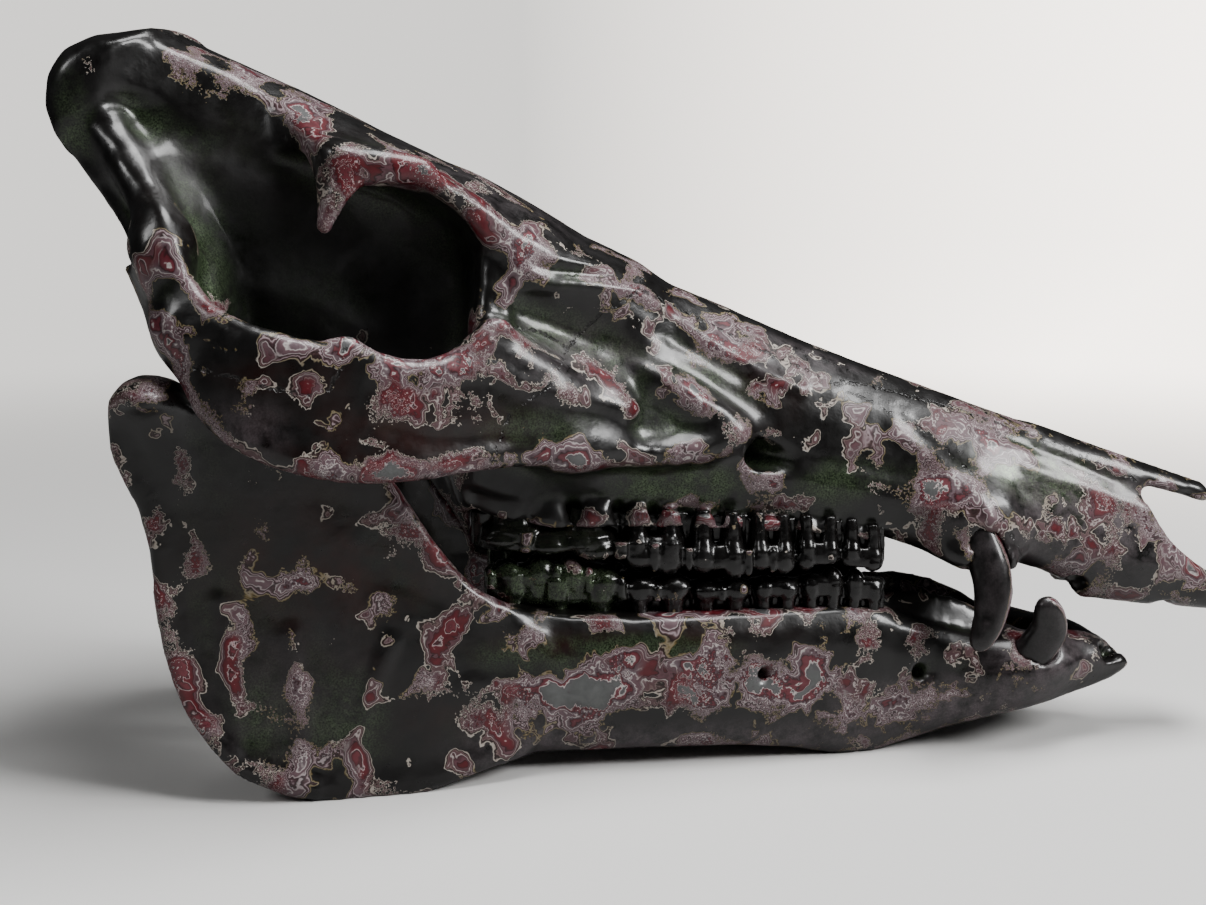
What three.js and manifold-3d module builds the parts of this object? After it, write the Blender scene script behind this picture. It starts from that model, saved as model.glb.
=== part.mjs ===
// A life-size pig skull with its lower jaw, resting on the jaw as on a table.
// x runs forward to the snout, y to the animal's left and z up. All sizes are in millimetres.
// The bones are drawn as distance fields, rounded forms that melt into each other as bone does. The field
// of
// one half is meshed, thinned out to few triangles, cut along the real sutures and mirrored. The teeth are
// lathed.
import * as THREE from "three";
import { mergeVertices } from "three/addons/utils/BufferGeometryUtils.js";
import Module from "manifold-3d";

const wasm = await Module();
wasm.setup();

// Meshing
const CRANIUM_STEP = 2.1;
const JAW_STEP = 2.1;
const CRANIUM_TRIANGLES = 3000;
const JAW_TRIANGLES = 1300;
const TABLE_STEP = 0.5;
const MIDLINE_OVERLAP = 5;
const SUTURE_GAP = 0.3;
const CUSP_SIDES = 6;
const TUSK_RINGS = 7;
const TUSK_SIDES = 9;

// Overall sizes
const SKULL_REAR = -155;
const SKULL_FRONT = 199;
const SKULL_TOP = 217;
const ARCH_HALF_WIDTH = 74;
const SIDE = 100;

// Distance fields. Each takes x, the distance w from the midplane, and z, and is negative inside.

const clamp = (v, low, high) => Math.min(Math.max(v, low), high);

function smoothMin(a, b, k) {
  const h = Math.max(k - Math.abs(a - b), 0) / k;
  return Math.min(a, b) - (h * h * k) / 4;
}

const smoothMax = (a, b, k) => -smoothMin(-a, -b, k);

// A smooth curve through [position, value] pairs that never overshoots them, level past its ends.
function along(pairs) {
  const n = pairs.length;
  const slopes = pairs.slice(1).map(([s, v], i) => (v - pairs[i][1]) / (s - pairs[i][0]));
  const tangents = pairs.map((_, i) => {
    const before = slopes[i - 1];
    const after = slopes[i];
    if (i === 0 || i === n - 1 || before * after <= 0) return 0;
    return (2 * before * after) / (before + after);
  });
  const start = pairs[0][0];
  const count = Math.ceil((pairs[n - 1][0] - start) / TABLE_STEP) + 1;
  const table = new Float32Array(count + 1);
  for (let i = 0, k = 0; i <= count; i++) {
    const s = Math.min(start + i * TABLE_STEP, pairs[n - 1][0]);
    while (k < n - 2 && s > pairs[k + 1][0]) k++;
    const run = pairs[k + 1][0] - pairs[k][0];
    const t = (s - pairs[k][0]) / run;
    const rise = pairs[k + 1][1] - pairs[k][1];
    table[i] =
      pairs[k][1] +
      rise * t * t * (3 - 2 * t) +
      run * t * (1 - t) * ((1 - t) * tangents[k] - t * tangents[k + 1]);
  }
  return (s) => {
    const t = clamp((s - start) / TABLE_STEP, 0, count - 1e-6);
    const i = Math.floor(t);
    return table[i] + (table[i + 1] - table[i]) * (t - i);
  };
}

// An ellipsoid, turned by tilt in the side view. A tilt above 0 lifts its front.
function ellipsoid([cx, cw, cz], [rx, rw, rz], tilt = 0) {
  const c = Math.cos(tilt);
  const s = Math.sin(tilt);
  return (x, w, z) => {
    const dx = x - cx;
    const dz = z - cz;
    const a = (dx * c + dz * s) / rx;
    const b = (w - cw) / rw;
    const d = (dz * c - dx * s) / rz;
    const size = Math.hypot(a, b, d);
    return (size * (size - 1)) / (Math.hypot(a / rx, b / rw, d / rz) + 1e-9);
  };
}

// A rod with round ends whose radius runs from one value to the other.
function rod([ax, aw, az], [bx, bw, bz], ra, rb) {
  const vx = bx - ax;
  const vw = bw - aw;
  const vz = bz - az;
  const length2 = vx * vx + vw * vw + vz * vz;
  return (x, w, z) => {
    const t = clamp(((x - ax) * vx + (w - aw) * vw + (z - az) * vz) / length2, 0, 1);
    return Math.hypot(x - ax - t * vx, w - aw - t * vw, z - az - t * vz) - ra - t * (rb - ra);
  };
}

// The signed distance to a closed outline in the side view, through a few [x, z] points.
function outline(points, perPoint = 5) {
  const corners = points.map(([x, z]) => new THREE.Vector3(x, 0, z));
  const curve = new THREE.CatmullRomCurve3(corners, true, "centripetal");
  const loop = curve.getPoints(points.length * perPoint).slice(0, -1);
  let lastX, lastZ, last;
  return (x, z) => {
    if (x === lastX && z === lastZ) return last;
    let nearest = Infinity;
    let inside = false;
    for (let i = 0, j = loop.length - 1; i < loop.length; j = i++) {
      const a = loop[i];
      const b = loop[j];
      const ex = b.x - a.x;
      const ez = b.z - a.z;
      const t = clamp(((x - a.x) * ex + (z - a.z) * ez) / (ex * ex + ez * ez), 0, 1);
      nearest = Math.min(nearest, (x - a.x - t * ex) ** 2 + (z - a.z - t * ez) ** 2);
      if (a.z > z !== b.z > z && x < a.x + (ex * (z - a.z)) / ez) inside = !inside;
    }
    lastX = x;
    lastZ = z;
    last = Math.sqrt(nearest) * (inside ? -1 : 1);
    return last;
  };
}

// A sheet of bone with a side-view outline, a middle surface off the midplane and half its thickness.
function sheet(shape, middle, half, edge) {
  return (x, w, z) => smoothMax(shape(x, z), Math.abs(w - middle(x, z)) - half(x, z), edge);
}

// A long bone with an upright rounded section. widths are half widths from its floor to its top, evenly
// spaced.
function beam({ floor, top, widths, power, from, to, cap }) {
  return (x, w, z) => {
    const low = floor(x);
    const half = Math.max(top(x) - low, 2) / 2;
    const t = clamp((z - low) / (2 * half), 0, 1) * (widths.length - 1);
    const i = Math.min(Math.floor(t), widths.length - 2);
    const f = t - i;
    const reach = widths[i](x) * (1 - f) + widths[i + 1](x) * f;
    const q = ((w / reach) ** power + (Math.abs(z - low - half) / half) ** power) ** (1 / power);
    return smoothMax((q - 1) * Math.min(reach, half), Math.max(from - x, x - to), cap);
  };
}

// Forms that melt together, and a form with others taken out of it. k is the width of the rounding.
const join = (k, first, ...rest) => (x, w, z) =>
  rest.reduce((d, f) => smoothMin(d, f(x, w, z), k), first(x, w, z));
const carve = (k, body, ...tools) => (x, w, z) =>
  tools.reduce((d, f) => smoothMax(d, -f(x, w, z), k), body(x, w, z));

// Cranium

// The dorsal profile, from the nuchal crest to the tips of the nasal bones
const profile = along([
  [-156, 193], [-152, 201], [-145, 208], [-136, 211.5], [-128, 212], [-119, 209.5], [-105, 203.5],
  [-90, 197],
  [-61, 183], [-31, 168], [-13, 158.5], [11, 147], [30, 139], [61, 125.5], [93, 113.5], [125, 102],
  [158, 89.5],
  [190, 77.5], [200, 74],
]);

// The edge of the mouth: the alveolar border back to the teeth's roots, and the premaxilla's lower edge
const mouthEdge = along([
  [-45, 80], [-30, 75], [0, 72.5], [30, 69.5], [60, 66], [84, 62.6], [98, 59], [112, 57.5], [126, 55.5],
  [138, 51], [150, 45.5], [165, 42.5], [188, 39.5], [199, 38.5],
]);

function face() {
  return beam({
    floor: mouthEdge,
    top: profile,
    widths: [
      along([[-40, 30], [-20, 32], [10, 31], [30, 29], [60, 26.5], [84, 25], [100, 27], [112, 29.5],
        [124, 26],
        [138, 21], [160, 18], [199, 12]]),
      along([[-40, 47], [-20, 46], [0, 39.5], [20, 33.5], [40, 28.5], [60, 26.5], [90, 25], [112, 28.5],
        [126, 25], [145, 21], [165, 18.5], [199, 12]]),
      along([[-40, 46], [-20, 44], [0, 36], [20, 28.5], [40, 25], [60, 23.5], [90, 21.5], [112, 22.5],
        [135, 19],
        [165, 15], [199, 10]]),
      along([[-40, 42], [-20, 38], [0, 31], [20, 25.5], [40, 21.5], [60, 19], [90, 16.5], [112, 15.5],
        [135, 14],
        [165, 11], [190, 6], [199, 5]]),
    ],
    power: 3.2,
    from: -40,
    to: SKULL_FRONT,
    cap: 8,
  });
}

// The roof over the brain and the eyes: wide over the eyes, pinched between the temple lines, wide at the
// crest
function roof() {
  const half = along([
    [-156, 27], [-152, 34], [-146, 36.5], [-138, 35.5], [-128, 30.5], [-118, 26.5], [-108, 25], [-98, 27],
    [-90, 33], [-84, 42], [-78, 51], [-72, 54], [-62, 52], [-48, 48.5], [-36, 45], [-20, 39], [0, 31.5],
    [15, 26],
  ]);
  const sag = along([
    [-156, 6], [-140, 3], [-110, 3.5], [-90, 6], [-75, 9.5], [-66, 7], [-58, 4.5], [-48, 2.8], [-36, 3.5],
    [-25, 6],
    [15, 6],
  ]);
  const thick = along([[-156, 11], [-120, 9], [-90, 8], [-70, 8], [-40, 9], [15, 12]]);
  return (x, w, z) => {
    const reach = half(x);
    const share = Math.min(w / reach, 1.3);
    const depth = thick(x);
    const middle = profile(x) - sag(x) * share * share - depth / 2;
    const flat = smoothMax(w - reach, Math.abs(z - middle) - depth / 2, 2.5);
    return smoothMax(flat, Math.max(SKULL_REAR - x, x - 12), 8);
  };
}

// How far back the head reaches at each height: far at the crest, less and less down to the neck
const headRear = along([
  [116, -117], [124, -121], [132, -124.5], [140, -127], [150, -131], [160, -135.5], [167, -141], [175, -148],
  [181, -151.5], [190, -154], [197, -154.5], [205, -151.5], [212, -144], [216, -138],
]);

// The braincase and the narrow wall between the eyes
function braincase() {
  const keel = beam({
    floor: along([[-145, 140], [-128, 126], [-100, 116], [-70, 108], [-50, 98], [-30, 88]]),
    top: (x) => profile(x) - 1,
    widths: [
      along([[-135, 20], [-110, 24], [-80, 20], [-50, 17], [-30, 20]]),
      along([[-135, 28], [-118, 34], [-100, 34.5], [-85, 30.5], [-70, 25], [-55, 20.5], [-42, 20],
        [-30, 26]]),
      along([[-142, 29], [-128, 31], [-118, 33], [-100, 33], [-85, 29.5], [-70, 25], [-55, 21], [-42, 22],
        [-30, 30]]),
      along([[-145, 33], [-130, 30], [-118, 26], [-100, 25], [-85, 28], [-70, 29], [-55, 28], [-30, 30]]),
    ],
    power: 4.5,
    from: -160,
    to: -18,
    cap: 10,
  });
  return (x, w, z) => smoothMax(keel(x, w, z), headRear(z) + 15 - x, 6);
}

// The upright plate at the back of the head, hollow from side to side: its crest above, the mastoid
// corners below
function occiput() {
  const half = along([
    [116, 36], [124, 45], [132, 49], [142, 48], [152, 44], [162, 39], [172, 35.5], [182, 34.5], [192, 35],
    [200, 36], [208, 34], [216, 26],
  ]);
  const hollow = along([[116, 0], [146, 2], [165, 7], [180, 11], [190, 8], [200, 4], [208, 3], [216, 2]]);
  const thick = 12;
  return (x, w, z) => {
    const reach = half(z);
    const back = headRear(z) + hollow(z) * (1 - Math.min(w / reach / 0.85, 1) ** 2);
    const flat = smoothMax(w - reach, Math.abs(x - back - thick / 2) - thick / 2, 4);
    return smoothMax(flat, Math.max(116 - z, z - SKULL_TOP + 6), 6);
  };
}

// The process behind the eye, and the thick brow over it
function brow() {
  return join(
    4,
    rod([-75, 46, 176], [-77, 54.5, 159.5], 4.6, 2.4),
    rod([-73, 49, 178], [-52, 47, 175], 4, 3.4),
  );
}

// The cheek: the deep zygomatic arch, from the joint of the jaw to the front of the eye
function arch() {
  const shape = outline([
    [-127, 150], [-126, 160], [-121, 166], [-117, 157], [-112, 147.5], [-106, 141.5], [-97, 136.5],
    [-86, 133],
    [-77, 131], [-71, 132.5], [-66, 132], [-60, 128.5], [-52, 125.5], [-44, 127], [-37, 133], [-28, 140],
    [-14, 138], [0, 124], [6, 108], [-3, 95.5], [-18, 94.5], [-36, 94], [-52, 92.5], [-70, 92.5], [-86, 96],
    [-99, 101.5], [-109, 108.5], [-116, 119.5], [-119, 126], [-123, 138],
  ]);
  const middle = along([
    [-128, 49], [-121, 55], [-113, 61.5], [-104, 67], [-94, 70], [-82, 70], [-68, 67], [-54, 62],
    [-42, 56.5],
    [-30, 50.5], [-15, 43], [5, 33],
  ]);
  const thick = along([[-128, 4.5], [-110, 4], [-90, 3.4], [-70, 3.6], [-50, 4.6], [-30, 6], [-10, 8]]);
  return sheet(shape, (x, z) => middle(x) + (115 - z) * 0.05, thick, 5);
}

// The root of the arch beside the braincase, which roofs the joint of the jaw
function archRoot() {
  return join(
    8,
    rod([-116, 28, 137], [-114, 58, 133], 11, 8.5),
    rod([-124, 40, 150], [-120, 54, 152], 8, 6),
    rod([-138, 33, 186], [-118, 53, 157], 5, 5.5),
    rod([-126, 29, 174], [-114, 38, 146], 9, 9),
    ellipsoid([-120, 55, 153], [6, 6.5, 9], 0.2),
  );
}

// What hangs below the brain: the base, the condyles, the ear's bulla, the long process beside it, the
// wings
function skullBase() {
  return join(
    5,
    rod([-113, 0, 127], [-66, 0, 112], 13, 11),
    ellipsoid([-119, 15, 131], [9, 11, 12], -0.3),
    ellipsoid([-97, 25, 109], [11, 8.5, 18], 0.25),
    rod([-115, 34, 132], [-108, 35, 86], 9, 4),
    rod([-56, 16, 106], [-46, 17, 84], 5, 4),
    rod([-66, 14, 110], [-44, 18, 92], 7, 6),
    rod([-50, 15, 94], [-38.5, 17, 70.5], 5.5, 4.2),
    ellipsoid([-32, 27, 90], [15, 9.5, 17], 0),
  );
}

// The swelling over the canine's root, the crest on the cheek, and the rim of the hole below the eye
function faceForms() {
  return join(
    5,
    ellipsoid([110, 22, 72], [17, 9.5, 13], -0.3),
    rod([-14, 43, 99], [12, 35, 91.5], 7, 5),
    rod([12, 35, 91.5], [36, 29.5, 99], 5, 3.6),
    rod([6, 35, 123], [38, 27.5, 101], 3.6, 3.4),
    ellipsoid([112, 27.5, 62], [12, 6.5, 4.5], -0.15),
    rod([135, 7.5, 92.5], [187, 4.8, 76.3], 4.2, 2.6),
    rod([150, 8, 51], [193, 6, 45.5], 6.5, 5.2),
  );
}

const eyeSocket = join(
  6,
  ellipsoid([-55.5, 56, 148.5], [20.5, 36, 23], 0.1),
  ellipsoid([-62, 38, 140], [19, 17, 19], 0),
);

// The roof of the mouth, arched between the tooth rows, and the passage behind it
function palate() {
  const half = along([
    [-50, 14], [-20, 15], [20, 16], [60, 17], [90, 15.5], [110, 17], [130, 12], [160, 8], [199, 5],
  ]);
  const rise = along([[-50, 12], [-20, 9], [60, 8], [110, 9], [140, 6], [165, 3], [199, 1.5]]);
  return (x, w, z) => {
    const high = rise(x);
    const q = Math.hypot(w / half(x), Math.max(z - mouthEdge(x), -high) / high) - 1;
    return smoothMax(q * high, -52 - x, 6);
  };
}

const choana = rod([-52, 0, 96], [-34, 0, 91], 11, 9);
const foramenMagnum = rod([-150, 0, 140], [-106, 0, 144], 10, 9);

// The open nose: the hollow between the premaxillae and the notch below the nasal bones
function nose() {
  const hollow = beam({
    floor: along([[120, 74], [140, 64], [160, 56], [180, 51.5], [199, 48]]),
    top: along([[120, 86], [140, 88], [166, 80], [199, 72]]),
    widths: [along([[120, 5], [145, 9], [199, 8]]), along([[120, 6], [145, 11], [199, 10]])],
    power: 2.4,
    from: 122,
    to: SKULL_FRONT + 20,
    cap: 8,
  });
  const notch = outline([
    [167, 79.5], [170, 73], [175, 65.5], [182, 58.5], [190, 53], [200, 48.5], [212, 46], [212, 72],
    [200, 72.5],
    [190, 74], [180, 77.2],
  ]);
  return (x, w, z) => Math.min(hollow(x, w, z), notch(x, z));
}

// The empty sockets of the front teeth, and the holes where nerves left the jaw
const upperSockets = join(
  1,
  rod([144, 16.5, 42], [147, 13, 54], 3.8, 2.6),
  rod([178, 10, 36], [175, 9, 47], 3.6, 2.4),
  rod([195, 6.5, 36], [190, 5.5, 47], 3.4, 2.4),
);
const lowerSockets = join(
  1,
  rod([158, 13, 28], [146, 10, 21.5], 3, 2.2),
  rod([164.5, 8, 30], [152, 7, 22.5], 3, 2.2),
  rod([169, 3.2, 29], [157, 3.2, 22], 2.6, 1.8),
);
const chinHoles = join(
  1,
  rod([47, 33, 28.2], [42, 22, 27], 2.6, 2),
  rod([98, 28, 25.8], [91, 16, 25], 2.8, 2),
);

const infraorbitalHole = rod([36, 20, 96], [62, 32, 88.5], 5.5, 3.2);
const snoutMuscleHollow = ellipsoid([2, 47, 127], [34, 14, 9.5], -0.36);
const toothHollow = ellipsoid([24, 40, 83.5], [28, 11, 7], -0.16);

function cranium() {
  const vault = join(12, braincase(), roof(), occiput());
  const cheek = join(7, arch(), archRoot());
  const solid = join(6, join(9, vault, face()), cheek, skullBase(), faceForms(), brow());
  const eyed = carve(3, solid, eyeSocket);
  const fleshMarks = carve(8, eyed, snoutMuscleHollow, toothHollow);
  const under = carve(4, fleshMarks, palate(), choana, foramenMagnum);
  return carve(1.5, under, nose(), infraorbitalHole, upperSockets);
}

// Lower jaw

function ramus() {
  const shape = outline([
    [-134.5, 113], [-128, 116.5], [-119, 116], [-113, 112], [-109, 112.5], [-105, 119], [-101, 128],
    [-97, 132],
    [-92, 129], [-87, 121], [-79, 110], [-69, 99], [-61, 89], [-55, 79], [-48, 68], [-40, 58], [-31, 52],
    [-20, 40],
    [-18, 22], [-26, 8], [-36, 4.5], [-46, 1.6], [-56, -0.6], [-70, -1], [-84, -0.4], [-95, 3], [-106, 10],
    [-116, 23],
    [-122, 38], [-125, 54], [-126.5, 70], [-129, 83], [-133, 92.5], [-135.5, 101], [-135.5, 107],
  ]);
  const middle = along([
    [-136, 54], [-120, 52.5], [-100, 50.5], [-80, 47.5], [-60, 43.5], [-40, 38], [-18, 32],
  ]);
  const flare = along([[0, 3.5], [20, 1.5], [50, 0], [80, -0.5], [105, 0.5], [118, 2.5], [135, -2]]);
  const half = (x, z) => 3 + 1.4 * clamp(1 + shape(x, z) / 9, 0, 1) + 2.2 * clamp((x + 66) / 40, 0, 1);
  return sheet(shape, (x, z) => middle(x) + flare(z), half, 2.6);
}

function jawBody() {
  const middle = along([
    [-82, 48], [-60, 44], [-45, 38], [-30, 31.5], [-10, 29], [20, 27], [40, 25], [60, 22.5], [75, 20.5],
    [90, 18], [110, 17],
    [130, 15], [150, 9.5], [168, 5],
  ]);
  const half = along([
    [-82, 2], [-60, 4], [-45, 7], [-30, 10], [-10, 10.5], [20, 10], [40, 9.3], [60, 8.3], [75, 7.8],
    [100, 7.5], [125, 9],
    [145, 9], [168, 7],
  ]);
  const floor = along([
    [-60, 4], [-45, 4.5], [-15, 5], [30, 4.6], [52, 3], [64, 0.8], [72, -0.7], [82, -0.6], [92, 2],
    [110, 7.2],
    [125, 10.8], [145, 14.8], [158, 18], [168, 22],
  ]);
  const top = along([
    [-60, 42], [-40, 48], [-20, 49.5], [10, 48.5], [50, 47.5], [82, 46.5], [90, 43], [100, 40], [113, 36.5],
    [125, 35], [140, 34.5], [152, 33], [162, 28.5], [168, 24],
  ]);
  const innerRim = along([[70, 0], [84, 1.5], [98, 5], [112, 6], [124, 3], [135, 0]]);
  const squareness = 2.6;
  return (x, w, z) => {
    const low = floor(x);
    const inward = clamp((middle(x) - w) / half(x), 0, 1);
    const tall = (top(x) + innerRim(x) * inward - low) / 2;
    const reach = half(x) * (1 + 0.12 * clamp((z - low - tall) / tall, -1, 1));
    const across = Math.abs((w - middle(x)) / reach);
    const up = Math.abs((z - low - tall) / tall);
    const q = (across ** squareness + up ** squareness) ** (1 / squareness);
    return smoothMax((q - 1) * Math.min(reach, tall), Math.max(-80 - x, x - 167), 8);
  };
}

// The chin, where the two halves of the jaw have grown together
function chin() {
  return beam({
    floor: along([[66, 7], [76, 2], [88, 2.5], [100, 5.5], [125, 10.8], [145, 14.8], [158, 18], [168, 22]]),
    top: along([[66, 12], [80, 19], [100, 23], [125, 26], [150, 28], [168, 25]]),
    widths: [
      along([[66, 14], [90, 15], [110, 15], [130, 13.5], [150, 10.5], [168, 7]]),
      along([[66, 16], [90, 20], [115, 23], [132, 22], [150, 16.5], [168, 9]]),
    ],
    power: 2.6,
    from: 66,
    to: 167,
    cap: 8,
  });
}

function jaw() {
  const condyle = ellipsoid([-124.5, 55, 114.8], [8.2, 12, 5.6], -0.1);
  const neck = rod([-123, 54, 108], [-118, 52, 92], 6, 3.5);
  const canineSwelling = ellipsoid([128, 20, 25], [16, 8.5, 9.5], 0.1);
  const whole = join(6, jawBody(), ramus(), chin(), join(5, condyle, neck), canineSwelling);
  const masseterHollow = ellipsoid([-93, 60, 62], [26, 7.5, 34], 0);
  return carve(1.2, carve(5, whole, masseterHollow), lowerSockets, chinHoles);
}

// Meshing a field

// The six tetrahedra of a cell all hold its long diagonal. Each step adds one axis to the corner before it.
const CORNERS = Array.from({ length: 8 }, (_, n) => [n & 1, (n >> 1) & 1, n >> 2]);
const AXES = [1, 2, 4];
const CELL = [[0, 1, 1], [0, 2, -1], [1, 0, -1], [1, 2, 1], [2, 0, 1], [2, 1, -1]].map(([a, b, sign]) => ({
  corners: [0, AXES[a], AXES[a] | AXES[b], 7],
  sign,
}));
const ONE_INSIDE = { 1: [0, 1, 2, 3], 2: [1, 0, 3, 2], 4: [2, 0, 1, 3], 8: [3, 0, 2, 1] };
const TWO_INSIDE = {
  3: [0, 1, 2, 3], 5: [0, 2, 3, 1], 9: [0, 3, 1, 2], 6: [1, 2, 0, 3], 10: [1, 3, 2, 0], 12: [2, 3, 0, 1],
};

// The surface where the field is 0, for y from just past the midplane outwards.
function meshField(field, low, high, step) {
  const size = [0, 1, 2].map((i) => Math.ceil((high[i] - low[i]) / step) + 1);
  const at = (i, j, k) => (i * size[2] + k) * size[1] + j;
  const values = new Float64Array(size[0] * size[1] * size[2]);
  for (let i = 0; i < size[0]; i++)
    for (let k = 0; k < size[2]; k++)
      for (let j = 0; j < size[1]; j++) {
        const y = low[1] + j * step;
        const d = Math.max(field(low[0] + i * step, Math.abs(y), low[2] + k * step), -MIDLINE_OVERLAP - y);
        values[at(i, j, k)] = Math.abs(d) < 1e-7 ? 1e-7 : d;
      }
  const positions = [];
  const triangles = [];
  const made = new Map();
  const crossing = (a, b) => {
    const key = a.id < b.id ? a.id * values.length + b.id : b.id * values.length + a.id;
    if (!made.has(key)) {
      const t = clamp(a.d / (a.d - b.d), 0.03, 0.97);
      made.set(key, positions.length / 3);
      positions.push(...[0, 1, 2].map((n) => a.p[n] + (b.p[n] - a.p[n]) * t));
    }
    return made.get(key);
  };
  const corner = (i, j, k) => ({
    id: at(i, j, k),
    d: values[at(i, j, k)],
    p: [low[0] + i * step, low[1] + j * step, low[2] + k * step],
  });
  const add = (sign, a, b, c) => triangles.push(...(sign > 0 ? [a, b, c] : [a, c, b]));
  for (let i = 0; i + 1 < size[0]; i++)
    for (let k = 0; k + 1 < size[2]; k++)
      for (let j = 0; j + 1 < size[1]; j++) {
        let below = 0;
        for (const [x, y, z] of CORNERS) below += values[at(i + x, j + y, k + z)] < 0;
        if (below === 0 || below === CORNERS.length) continue;
        const cube = CORNERS.map(([x, y, z]) => corner(i + x, j + y, k + z));
        for (const { corners, sign } of CELL) {
          const v = corners.map((n) => cube[n]);
          const mask = v.reduce((m, c, n) => m | (c.d < 0 ? 1 << n : 0), 0);
          const e = (a, b) => crossing(v[a], v[b]);
          const few = ONE_INSIDE[mask] || ONE_INSIDE[15 - mask];
          if (few) {
            const [a, b, c, d] = few;
            add(ONE_INSIDE[mask] ? sign : -sign, e(a, b), e(a, c), e(a, d));
          } else if (TWO_INSIDE[mask]) {
            const [a, b, c, d] = TWO_INSIDE[mask];
            add(sign, e(a, c), e(a, d), e(b, d));
            add(sign, e(a, c), e(b, d), e(b, c));
          }
        }
      }
  settle(field, positions);
  return { positions, triangles };
}

// Moves each point that isn't on the midline cut onto the surface itself, down the slope of the field.
function settle(field, positions) {
  const probe = 0.05;
  const at = (x, y, z) => field(x, Math.abs(y), z);
  for (let i = 0; i < positions.length; i += 3) {
    if (positions[i + 1] < -MIDLINE_OVERLAP + 0.5) continue;
    for (let pass = 0; pass < 2; pass++) {
      const [x, y, z] = positions.slice(i, i + 3);
      const d = at(x, y, z);
      const ahead = [at(x + probe, y, z), at(x, y + probe, z), at(x, y, z + probe)];
      const slope = ahead.map((v) => (v - d) / probe);
      const steep = slope[0] ** 2 + slope[1] ** 2 + slope[2] ** 2;
      if (steep < 0.05) break;
      const travel = clamp(d / steep, -0.4, 0.4);
      for (let n = 0; n < 3; n++) positions[i + n] -= travel * slope[n];
    }
  }
}

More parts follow.
